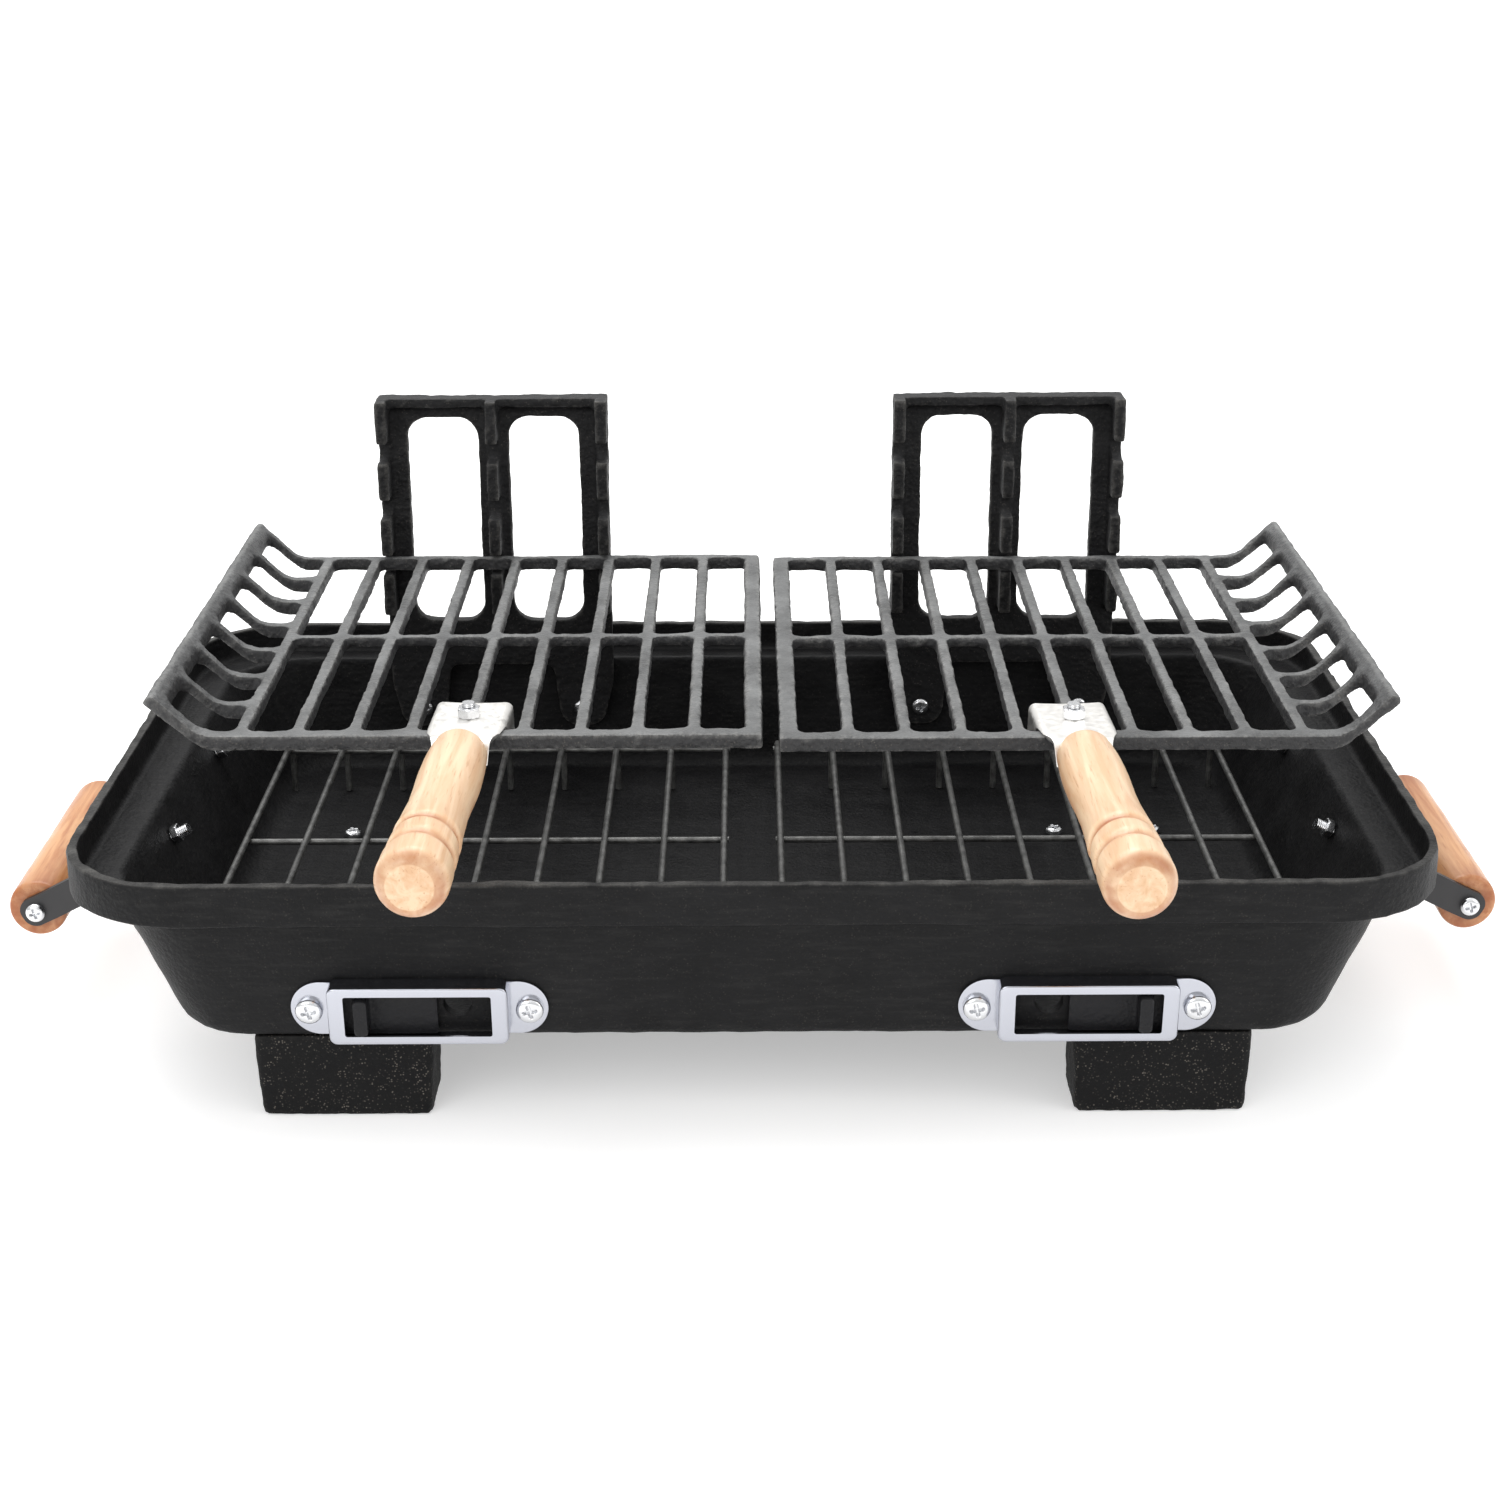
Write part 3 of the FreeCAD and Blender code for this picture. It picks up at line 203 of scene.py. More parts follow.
def read_edges(mesh):
    """The numbers of the two points of each edge."""
    flat = np.empty(len(mesh.edges) * 2, dtype=np.int32)
    mesh.edges.foreach_get("vertices", flat)
    return flat.reshape(-1, 2)


def neighbour_mean(values, edges):
    """For each vertex, the mean of the values at the vertices that it shares an edge with."""
    ends = np.concatenate([edges[:, 0], edges[:, 1]])
    others = np.concatenate([edges[:, 1], edges[:, 0]])
    count = np.maximum(np.bincount(ends, minlength=len(values)), 1)
    columns = [np.bincount(ends, weights=values[others, k], minlength=len(values)) / count
               for k in range(values.shape[1])]
    return np.stack(columns, axis=1)


def mark_edges(mesh, full=0.35):
    """Writes the attribute "edge": how far each vertex stands out from the mean of its
    neighbours along the normal, over their spacing, so 1 on a worn ridge and -1 in a corner."""
    points, edges = read_points(mesh), read_edges(mesh)
    spacing = np.linalg.norm(points[edges[:, 0]] - points[edges[:, 1]], axis=1).mean()
    out = ((points - neighbour_mean(points, edges)) * read_normals(mesh)).sum(axis=1)
    out = out[:, None] / (spacing * full)
    for _ in range(2):  # smooths out single points
        out = (out + neighbour_mean(out, edges)) / 2
    put_values(mesh, "edge", np.clip(out[:, 0], -1, 1))


def put_values(mesh, name, values):
    """Stores one number per point as an attribute that materials can read."""
    layer = mesh.attributes.new(name, "FLOAT", "POINT")
    layer.data.foreach_set("value", np.asarray(values, dtype=np.float32))


def roughen(mesh, layers, seed, depth):
    """Sinks each point along its normal by up to depth millimetres, following the sum of a few
    layers of waves, each given as its wavelength in millimetres and its share."""
    points = read_points(mesh)
    uneven = sum(waves(points, length, seed + k) * share
                 for k, (length, share) in enumerate(layers))
    write_points(mesh, points + read_normals(mesh) * ((uneven - 1) * depth / 2)[:, None])


def mesh_of(name, shape, outward=True):
    """A mesh from a shape, its doubled points merged, its faces turned outwards."""
    points, quads, ends = shape
    mesh = bpy.data.meshes.new(name)
    mesh.from_pydata(points * MM, [], quads.tolist() + [face.tolist() for face in ends])
    work = bmesh.new()
    work.from_mesh(mesh)
    bmesh.ops.remove_doubles(work, verts=work.verts, dist=MERGE)
    if outward:
        bmesh.ops.recalc_face_normals(work, faces=work.faces)
    work.to_mesh(mesh)
    work.free()
    return mesh


def show(name, mesh, material, body, nodes, smooth=35):
    """Makes the piece with its material, shades it smooth up to an angle, hangs it on the body
    that it rides on and hides the CAD nodes that it stands for."""
    piece = bpy.data.objects.new(name, mesh)
    bpy.context.scene.collection.objects.link(piece)
    mesh.materials.clear()
    mesh.materials.append(material)
    mesh.shade_smooth()
    mesh.set_sharp_from_angle(angle=math.radians(smooth))
    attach(piece, body)
    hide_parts(*nodes)
    return piece


def add_modifier(piece, kind, **settings):
    """Adds a modifier with its settings."""
    modifier = piece.modifiers.new(kind.lower(), kind)
    for name, value in settings.items():
        setattr(modifier, name, value)
    return modifier


def merged_copy(node):
    """The CAD node's mesh with its loose triangles joined."""
    mesh = NODES[node].data.copy()
    work = bmesh.new()
    work.from_mesh(mesh)
    bmesh.ops.remove_doubles(work, verts=work.verts, dist=MERGE)
    work.to_mesh(mesh)
    work.free()
    return mesh


CAST_WAVES = ((34, 0.4), (9, 0.35), (3.5, 0.25))


def casting(node, cell, swell, seed, passes=3):
    """A sand casting has no sharp edge, and a plate full of slots is no function of two
    parameters, so it is made from its CAD solid: resurfaced in even cells, every point moved
    towards the mean of its neighbours a few times, which rounds the edges and fills the
    corners, then sunk along its normal by up to swell millimetres of long and short waves."""
    work = bpy.data.objects.new(node + "_cells", merged_copy(node))
    bpy.context.scene.collection.objects.link(work)
    add_modifier(work, "REMESH", mode="VOXEL", voxel_size=cell * MM)
    graph = bpy.context.evaluated_depsgraph_get()
    mesh = bpy.data.meshes.new_from_object(work.evaluated_get(graph))
    bpy.data.objects.remove(work)
    points, edges = read_points(mesh), read_edges(mesh)
    for _ in range(passes):
        points = points + 0.5 * (neighbour_mean(points, edges) - points)
    write_points(mesh, points)
    roughen(mesh, CAST_WAVES, seed, swell)
    write_points(mesh, np.clip(read_points(mesh), *box(node)))
    mark_edges(mesh)
    return mesh


# ---------------------------------------------------------------- materials


def srgb(code):
    """A hex colour as the linear red, green, blue and alpha that a shader takes."""
    values = np.array([int(code[k:k + 2], 16) for k in (1, 3, 5)]) / 255
    linear = np.where(values <= 0.04045, values / 12.92, ((values + 0.055) / 1.055) ** 2.4)
    return (*linear.tolist(), 1.0)


def per(size):
    """Texture scale that repeats once in so many millimetres."""
    return 1 / (size * MM)


def set_inputs(tree, node, inputs):
    """Gives each input of a node its value, or links it where that value is a socket."""
    for name, value in inputs.items():
        if isinstance(value, bpy.types.NodeSocket):
            tree.links.new(value, node.inputs[name])
        else:
            node.inputs[name].default_value = value


def add(tree, kind, inputs=None, **settings):
    """Adds a shader node with its settings; each input is a value or a socket to link."""
    made = tree.nodes.new("ShaderNode" + kind)
    for name, value in settings.items():
        setattr(made, name, value)
    set_inputs(tree, made, inputs or {})
    return made


A, B, RESULT = 6, 7, 2  # the colour sockets of a Mix node


def mixed(tree, share, first, second):
    """The colour that lies between two colours by a share."""
    inputs = {"Factor": share, A: first, B: second}
    return add(tree, "Mix", inputs, data_type="RGBA").outputs[RESULT]


def ramp(tree, value, low, high, start=0.0, end=1.0):
    """A value stretched so that low becomes start and high becomes end, and held past them."""
    return add(tree, "MapRange", {"Value": value, "From Min": low, "From Max": high,
                                  "To Min": start, "To Max": end}).outputs[0]


def math_of(tree, operation, first, second):
    """Two values added or multiplied."""
    return add(tree, "Math", {0: first, 1: second}, operation=operation).outputs[0]


def noise(tree, place, size, detail=2.0, rough=0.5, bend=0.0):
    """Cloudy noise between 0 and 1, its widest clouds about size millimetres across."""
    return add(tree, "TexNoise", {"Vector": place, "Scale": per(size), "Detail": detail,
                                  "Roughness": rough, "Distortion": bend}).outputs[0]


def cells(tree, place, size):
    """The distance from the middle of the nearest of many cells, size millimetres apart."""
    return add(tree, "TexVoronoi", {"Vector": place, "Scale": per(size)}).outputs["Distance"]


def scaled(tree, place, scale):
    """A place with each axis scaled, so that a texture is drawn out where the scale is low."""
    return add(tree, "Mapping", {"Vector": place, "Scale": scale}).outputs[0]


def bumped(tree, height, depth, strength=0.5, **inputs):
    """The normal bent by a height from 0 to 1 that stands for depth millimetres."""
    return add(tree, "Bump", {"Height": height, "Distance": depth * MM, "Strength": strength,
                              **inputs}).outputs[0]


def new_material(name):
    """An empty material, its tree, its shader joined to the output, and the object's own
    coordinates."""
    material = bpy.data.materials.new(name)
    material.use_nodes = True
    tree = material.node_tree
    tree.nodes.clear()
    shader = add(tree, "BsdfPrincipled")
    add(tree, "OutputMaterial", {"Surface": shader.outputs[0]})
    return material, tree, shader, add(tree, "TexCoord").outputs["Object"]


def cast_iron(name, dark, light, worn, rough, grain, relief, sheen, flank_shade="", specks=0.0,
              streaks=0.0):
    """Grey iron as it leaves a sand mould: a skin of grains about a millimetre across, cloudy
    patches of graphite, ridges rubbed paler, and concave corners painted near black as shade.
    Where a flank colour is given, faces that do not look up are painted in it as shade, so
    that the tops read as lit. Grain is the size of the sand in millimetres, relief how deep it
    shows, and sheen falls as its pits trap light."""
    material, tree, shader, place = new_material(name)
    edge = add(tree, "Attribute", attribute_name="edge").outputs["Fac"]
    cloud = noise(tree, place, 28, 5.0, 0.6)
    sand = noise(tree, place, grain, 3.0, 0.7)
    colour = mixed(tree, ramp(tree, cloud, 0.35, 0.68), srgb(dark), srgb(light))
    # painted shade: faces that do not look up take the darker flank colour, so the tops read as
    # lit
    if flank_shade:
        facing = add(tree, "SeparateXYZ", {0: add(tree, "NewGeometry").outputs["Normal"]})
        upward = math_of(tree, "ADD", facing.outputs["Z"], sand)
        colour = mixed(tree, ramp(tree, upward, 0.95, 1.45), srgb(flank_shade), colour)
    ridge = ramp(tree, math_of(tree, "MULTIPLY", edge, sand), 0.06, 0.5)
    colour = mixed(tree, ridge, colour, srgb(worn))
    # painted shade: concave corners are darkened towards near black
    hollow = ramp(tree, edge, -0.1, -0.7, end=0.6)
    colour = mixed(tree, hollow, colour, srgb("#0b0b0c"))
    if specks:
        near = ramp(tree, cells(tree, place, 1.15), 0.34, 0.12, end=specks)
        patch = ramp(tree, noise(tree, place, 3, 4.0), 0.42, 0.7)
        colour = mixed(tree, math_of(tree, "MULTIPLY", near, patch), colour, srgb("#8c857c"))
    height = math_of(tree, "ADD", sand, cells(tree, place, grain * 2.2))
    normal = bumped(tree, height, relief, 0.6)
    if streaks:
        brush = noise(tree, scaled(tree, place, (0.12, 1.0, 1.0)), 2.2, 4.0, 0.65)
        normal = bumped(tree, brush, streaks, 0.6, Normal=normal)
        colour = mixed(tree, ramp(tree, brush, 0.5, 0.75, end=streaks), colour, srgb(worn))
    gloss = ramp(tree, cloud, 0.3, 0.7, rough - 0.07, rough + 0.09)
    set_inputs(tree, shader, {"Base Color": colour, "Roughness": gloss, "Normal": normal,
                              "Specular IOR Level": sheen})
    return material


def bright_plate(name, colour, rough, waviness, dust):
    """Electroplated steel: a metal mirror over a sheet that is never quite flat, dulled by
    handling. Waviness is the depth in millimetres of the dents that bend its reflections."""
    material, tree, shader, place = new_material(name)
    smear = noise(tree, place, 3, 6.0, 0.7)
    set_inputs(tree, shader, {
        "Base Color": srgb(colour), "Metallic": 1.0,
        "Roughness": ramp(tree, smear, 0.35, 0.7, rough, rough + dust),
        "Normal": bumped(tree, noise(tree, place, 7), waviness)})
    return material


def lacquered_wood(name, pale, deep, stain_and_shade, pores, coat):
    """Turned hardwood under clear lacquer: growth bands along Y, short open pores, and a dark
    colour laid where the piece's darkening attribute says: stains that gather in grooves and on
    cut ends, and on the turned grips also painted shade on the side that faces down."""
    material, tree, shader, place = new_material(name)
    along = scaled(tree, place, (1.0, 0.07, 1.0))
    bands = noise(tree, along, 5, 4.0, 0.55, 0.6)
    fibre = noise(tree, along, 0.9, 3.0)
    colour = mixed(tree, ramp(tree, bands, 0.38, 0.66), srgb(pale), srgb(deep))
    colour = mixed(tree, ramp(tree, fibre, 0.6, 0.75, end=pores), colour, srgb(stain_and_shade))
    # darkening: stains in grooves and on ends, and on the turned grips painted shade on the side
    # that faces down
    stain_and_shade_mask = add(tree, "Attribute", attribute_name="stain_and_shade").outputs["Fac"]
    uneven = ramp(tree, noise(tree, place, 11, 3.0), 0.3, 0.65, start=0.35)
    colour = mixed(tree, math_of(tree, "MULTIPLY", stain_and_shade_mask, uneven), colour, srgb(stain_and_shade))
    set_inputs(tree, shader, {
        "Base Color": colour, "Roughness": 0.42, "Normal": bumped(tree, fibre, 0.06),
        "Coat Weight": coat, "Coat Roughness": 0.22, "Subsurface Weight": 0.05,
        "Subsurface Radius": (0.006, 0.003, 0.0015), "Subsurface Scale": 0.3})
    return material


def drawn_wire(name):
    """Steel wire drawn through a die and left dark: satin, with faint lines along it."""
    material, tree, shader, place = new_material(name)
    scale = ramp(tree, noise(tree, place, 6, 5.0, 0.65), 0.35, 0.65)
    lines = noise(tree, scaled(tree, place, (1.0, 0.05, 1.0)), 0.7)
    set_inputs(tree, shader, {
        "Base Color": mixed(tree, scale, srgb("#4a4a49"), srgb("#7b7b79")), "Metallic": 0.6,
        "Roughness": 0.38, "Normal": bumped(tree, lines, 0.05)})
    return material


def stoved_paint(name):
    """Black stoved paint on flat steel strip: thin, satin, with a slight orange peel."""
    material, tree, shader, place = new_material(name)
    cloud = noise(tree, place, 9, 4.0)
    set_inputs(tree, shader, {
        "Base Color": mixed(tree, cloud, srgb("#1d1d1f"), srgb("#2c2a2b")),
        "Roughness": 0.42, "Normal": bumped(tree, noise(tree, place, 1.1), 0.05)})
    return material


FIREBOX_IRON = cast_iron("black_painted_sand_casting", "#0e0e0f", "#181819", "#4c4b49", 0.5,
                         0.9, 0.35, 0.15, specks=0.1, streaks=0.12)
LEG_IRON = cast_iron("speckled_sand_casting", "#0e0e0f", "#161616", "#3a3836", 0.66, 1.1, 0.6,
                     0.15, specks=0.6)
# support and grate irons: faces that do not look up are painted darker as shade
SUPPORT_IRON = cast_iron("raw_sand_casting", "#202021", "#303031", "#716f6b", 0.6, 1.0, 0.6,
                         0.25, flank_shade="#171718", specks=0.2)
GRATE_IRON = cast_iron("rubbed_side_shaded_sand_casting", "#484949", "#727373", "#969592", 0.5, 1.0, 0.7,
                       0.4, flank_shade="#2d2d2e", specks=0.3)
DAMPER_IRON = cast_iron("black_fine_sand_casting", "#101012", "#19191c", "#3a3a3c", 0.5, 0.8,
                        0.4, 0.25)
CHROME = bright_plate("bright_chrome_plate", "#b9bbc3", 0.14, 0.05, 0.12)
ZINC_SHEET = bright_plate("satin_zinc_plate", "#eceae6", 0.3, 0.08, 0.2)
ZINC_SCREW = bright_plate("bright_zinc_plate", "#dcdddf", 0.14, 0.03, 0.14)
BEECH = lacquered_wood("lacquered_beech", "#e2c5a3", "#cfa67f", "#9c5a2b", 0.5, 0.35)
STAINED_WOOD = lacquered_wood("stained_hardwood_dowel", "#d09a6a", "#a86431", "#8f4718", 0.5,
                              0.3)
WIRE = drawn_wire("dark_drawn_wire")
STRAP_PAINT = stoved_paint("black_stoved_paint")


# ---------------------------------------------------------------- firebox

RIM_WALL, WALL, FLOOR = 5.0, 5.0, 5.0
RIM_RADIUS, TUB_RADIUS, BASE_RADIUS = 48.0, 40.0, 27.0
LIP_BOTTOM, LEDGE_TOP, RIM_TOP, TUB_BOTTOM = 88.5, 93.0, 106.0, 35.0
TUB_HALF = np.array([248.5, 146.5])
BASE_HALF = np.array([222.0, 141.8])
BASE_INNER = BASE_HALF - np.array([WALL / 2, WALL])
TUB_WAVES = ((60, 0.35), (14, 0.4), (5, 0.25))
WALL_LEAN = math.atan2(TUB_HALF[1] - BASE_HALF[1], LIP_BOTTOM - TUB_BOTTOM)


def make_firebox():
    """The tub casting: one closed profile carried round a rounded rectangle whose half length,
    half depth and corner radius change with height. It runs from the middle of the underside
    out, up the wall, round the lip and rim, over the ledge, down inside and back to the middle
    of the floor. The draught holes are drilled through the front wall afterwards."""
    low, high = box("firebox")
    middle = (low + high) / 2
    rim = (high - low)[:2] / 2
    core = BASE_HALF - BASE_RADIUS
    stations = [
        (*(core * 0.1), 0.5, TUB_BOTTOM), (*BASE_HALF, BASE_RADIUS, TUB_BOTTOM),
        (*TUB_HALF, TUB_RADIUS, LIP_BOTTOM), (*rim, RIM_RADIUS, LIP_BOTTOM),
        (*rim, RIM_RADIUS, RIM_TOP), (*(rim - RIM_WALL), RIM_RADIUS - RIM_WALL, RIM_TOP),
        (*(rim - RIM_WALL), RIM_RADIUS - RIM_WALL, LEDGE_TOP),
        (*(TUB_HALF - WALL), TUB_RADIUS - WALL, LEDGE_TOP),
        (*BASE_INNER, BASE_RADIUS - WALL, TUB_BOTTOM + FLOOR),
        (*(core * 0.1), 0.5, TUB_BOTTOM + FLOOR)]
    ease = [0, 7, 2.5, 2.2, 2.0, 2.0, 3.0, 3.5, 9, 0]  # how far each station's curve reaches
    profile = spaced(eased(stations, ease, steps=7), step=5)
    grid = ring_loft(profile, ring_steps(corner=22, along_x=120, along_y=64))
    grid = grid + [middle[0], middle[1], 0]
    mesh = mesh_of("firebox_casting", surface(grid, wrap_columns=True, caps=True))
    height = read_points(mesh)[:, 2]
    depth = np.interp(height, [TUB_BOTTOM, RIM_TOP - 4, RIM_TOP], [0.7, 0.8, 1.3])
    roughen(mesh, TUB_WAVES, 11, depth)
    sunk = read_points(mesh)
    write_points(mesh, np.clip(sunk, low, high))
    brushed = np.clip((read_points(mesh)[:, 2] - RIM_TOP + 1.8) / 1.6, 0, 1)
    put_values(mesh, "edge", brushed * np.clip(0.75 + waves(sunk, 6, 14) * 0.35, 0, 1))
    piece = show("firebox_casting", mesh, FIREBOX_IRON, ROOT, ["firebox"])
    drill_draught_holes(piece)


HOLE_RADIUS, HOLE_X, HOLE_Z, HOLE_REACH = 5.5, 112.6, 50.0, 16.0


def drill_draught_holes(piece):
    """Cuts a slightly flared round hole behind each vent and keeps the cut mesh."""
    low, high = box("firebox")
    front = (low[1] + high[1]) / 2 - BASE_HALF[1]
    drills = []
    for _, side in SIDES:
        profile = np.array([(0, -HOLE_REACH), (HOLE_RADIUS + 1, -HOLE_REACH),
                            (HOLE_RADIUS, 0), (HOLE_RADIUS - 0.3, HOLE_REACH),
                            (0, HOLE_REACH)])
        drills.append(moved(turned(profile, 40), (HOLE_X * side, front, HOLE_Z), (1, 0, 0),
                            (0, 0, 1), (0, 1, 0)))
    tool = bpy.data.objects.new("drill", mesh_of("drill", joined(drills)))
    bpy.context.scene.collection.objects.link(tool)
    add_modifier(piece, "BOOLEAN", operation="DIFFERENCE", object=tool, solver="EXACT")
    graph = bpy.context.evaluated_depsgraph_get()
    cut = bpy.data.meshes.new_from_object(piece.evaluated_get(graph))
    piece.modifiers.clear()
    piece.data = cut
    bpy.data.objects.remove(tool)


make_firebox()

# ---------------------------------------------------------------- other castings

CASTINGS = (  # name, cell and waviness in millimetres, seed, iron, finish, moves by itself
    ("leg_", 1.5, 0.7, 20, LEG_IRON, "leg_iron", False),
    ("support_", 1.05, 0.8, 20, SUPPORT_IRON, "support_iron", False),
    ("grate_", 1.15, 0.8, 40, GRATE_IRON, "grate_iron", True),
    ("damper_", 0.5, 0.25, 60, DAMPER_IRON, "damper_iron", True))

for side_name, side in SIDES:
    for prefix, cell, swell, seed, iron, slot, moves in CASTINGS:
        node = prefix + side_name
        show(node + "_casting", casting(node, cell, swell, seed + side), iron,
             node if moves else ROOT, [node])


# ---------------------------------------------------------------- handles


def solids_of(node):
    """The separate solids of a CAD node, each as its own points in millimetres. Every vertex
    takes the lowest number among its neighbours until nothing changes."""
    points = read_points(NODES[node].data)
    places, index = np.unique(np.round(points, 3), axis=0, return_inverse=True)
    edges = np.unique(np.sort(index.ravel()[read_edges(NODES[node].data)], axis=1), axis=0)
    number = np.arange(len(places))
    while True:
        lowest = number.copy()
        np.minimum.at(lowest, edges[:, 0], number[edges[:, 1]])
        np.minimum.at(lowest, edges[:, 1], number[edges[:, 0]])
        lowest = lowest[lowest]
        if (lowest == number).all():
            break
        number = lowest
    return [places[number == k] for k in np.unique(number)]


def main_axis(points, pick):
    """Of the three square directions in which the points spread most, some and least, the one
    along which pick, argmax or argmin, finds their full extent."""
    _, vectors = np.linalg.eigh(np.cov((points - points.mean(axis=0)).T))
    return vectors[:, int(pick(np.ptp(points @ vectors, axis=0)))]


def axes_about(axis, towards):
    """Three unit axes: z along axis, x as near towards as it can be."""
    z = np.asarray(axis, dtype=float)
    x = np.asarray(towards, dtype=float)
    x = x - z * (x @ z)
    x /= np.linalg.norm(x)
    return x, np.cross(z, x), z


def screw_measures(points):
    """Reads a CAD screw: the axis from tip to head, the middle of the head's underside, the
    head's radius and height, the shank's radius and its length."""
    low, high = points.min(axis=0), points.max(axis=0)
    middle = (low + high) / 2
    axis = main_axis(points, np.argmax)
    along = (points - middle) @ axis
    out = np.linalg.norm(points - middle - along[:, None] * axis, axis=1)
    wide = along[out > out.max() * 0.9]
    if wide.mean() < 0:
        axis, along, wide = -axis, -along, -wide
    seat = wide.min()
    thin = out[along < seat - 0.2]
    centre_line = middle + axis * seat
    return axis, centre_line, out.max(), along.max() - seat, thin.max(), seat - along.min()


def pan_head(radius, height):
    """A pan head: a flat-topped dome over a short upright side. Its height falls inside two
    crossed slots by a smooth step, which makes the cross recess. Slot sizes are shares of the
    radius, and the depths of the side and slots are shares of the height."""
    side, slot_reach, slot_half, slot_depth = 0.45, 0.58, 0.15, 0.55
    share = np.concatenate([np.linspace(0, 0.72, 20), np.linspace(0.76, 1, 9)])
    angle = np.linspace(0, 2 * math.pi, 64, endpoint=False)
    x, y = share[:, None] * np.cos(angle), share[:, None] * np.sin(angle)
    dome = height * (side + (1 - side) * (1 - share[:, None] ** 4) ** 0.6)
    step = np.zeros_like(x)
    for along, over in ((x, y), (y, x)):
        inside = np.clip((slot_reach - np.abs(along)) / 0.16, 0, 1)
        inside *= np.clip((slot_half - np.abs(over)) / 0.07, 0, 1)
        step = np.maximum(step, inside)
    top = np.stack([x * radius, y * radius, dome - step * height * slot_depth], axis=-1)
    rim = np.stack([radius * np.cos(angle), radius * np.sin(angle), 0 * angle], axis=-1)[None]
    return surface(np.concatenate([top, rim, rim * [0.2, 0.2, 1]]), wrap_columns=True)


def thread(radius, length, pitch=0.8, depth=0.35):
    """A screw thread: the radius follows a triangle wave of height plus turn, so that the crest
    climbs one pitch each time round. Depth is a share of the pitch. It hangs down from
    z = 0."""
    height = np.arange(0, -length, -pitch / 5)[:, None]
    angle = np.linspace(0, 2 * math.pi, 20, endpoint=False)
    phase = (height / pitch - angle / (2 * math.pi)) % 1
    out = radius - pitch * depth * np.abs(2 * phase - 1)
    grid = np.stack([out * np.cos(angle), out * np.sin(angle), height + 0 * angle], axis=-1)
    return surface(grid, wrap_columns=True, caps=True)


RECESS_TURN = (0.9, 0.35, 0.25)  # the way that one slot of every cross recess points


def make_screws(node, body):
    """Every screw of a CAD node, head and thread, as one piece."""
    shapes = []
    for points in solids_of(node):
        axis, seat, head, height, shank, length = screw_measures(points)
        axes = axes_about(axis, RECESS_TURN)
        shapes.append(moved(joined([pan_head(head, height), thread(shank, length)]), seat, *axes))
    show(node + "_plated", mesh_of(node, joined(shapes)), ZINC_SCREW, body, [node],
         50)


def hexagon(flat, height, bore):
    """A nut: its radius is that of a hexagon, cut back near both faces by a cone, and the
    bore closes it. Flat is half the width across flats."""
    angle = np.linspace(0, 2 * math.pi, 72, endpoint=False)
    hexa = flat / np.cos((angle + math.pi / 6) % (math.pi / 3) - math.pi / 6)
    level = np.array([0, 0.3, 0.6, 0.9, 1.2])
    level = np.concatenate([level, height - level[::-1]])[:, None]
    face, slope = 0.97, 1.73
    cone = flat * face + np.minimum(level, height - level) * slope
    out = np.minimum(hexa, cone)
    inner = np.full((2, len(angle)), bore)
    radius = np.concatenate([inner[:1], out, inner[1:]])
    level = np.concatenate([[[0]], level, [[height]]])
    grid = np.stack([radius * np.cos(angle), radius * np.sin(angle), level + 0 * angle], -1)
    return surface(grid, wrap_rows=True, wrap_columns=True)


def make_nuts(node, body):
    """Every nut of a CAD node as one piece, its corners where the CAD corners are."""
    shapes = []
    for points in solids_of(node):
        middle = (points.min(axis=0) + points.max(axis=0)) / 2
        axis = main_axis(points, np.argmin)
        along = (points - middle) @ axis
        out = points - middle - along[:, None] * axis
        reach = np.linalg.norm(out, axis=1)
        height = np.ptp(along)
        seat = middle - axis * height / 2
        axes = axes_about(axis, out[int(np.argmax(reach))])
        flat = reach.max() * math.cos(math.pi / 6)
        shapes.append(moved(hexagon(flat, height, reach.min()), seat, *axes))
    show(node + "_plated", mesh_of(node, joined(shapes)), ZINC_SCREW, body, [node],
         25)


HANDLE_SWING = math.radians(1.8)
GRIP_AHEAD, GRIP_LENGTH = 26.0, 127.0
GRIP_PROFILE = [(0, 0), (10.4, 0), (12.0, 25), (10.9, 64), (12.3, 88), (10.9, 91), (12.3, 94),
                (12.6, 102.5), (11.2, 106), (12.9, 109.5), (12.95, GRIP_LENGTH - 4),
                (9.6, GRIP_LENGTH), (0, GRIP_LENGTH)]
GRIP_EASE = [0, 8, 16, 22, 1.6, 1.6, 1.6, 1.6, 1.8, 2, 4, 2, 0]
# where along the grip stains gather, how far each spreads and how strong it is
STAIN_BELLS = [(91, 1.6, 1.0), (106, 2.0, 0.9), (GRIP_LENGTH - 1.5, 2.2, 0.85), (2, 2.0, 0.3)]


def handle_frame(side_name, side):
    """The middle of a handle's bolt and the handle's own axes, x to its right and y back along
    it, swung outwards about the bolt."""
    low, high = box("handle_bolt_" + side_name)
    cos, sin = math.cos(HANDLE_SWING), math.sin(HANDLE_SWING) * side
    return (low + high) / 2, np.array([cos, sin, 0.0]), np.array([-sin, cos, 0.0])


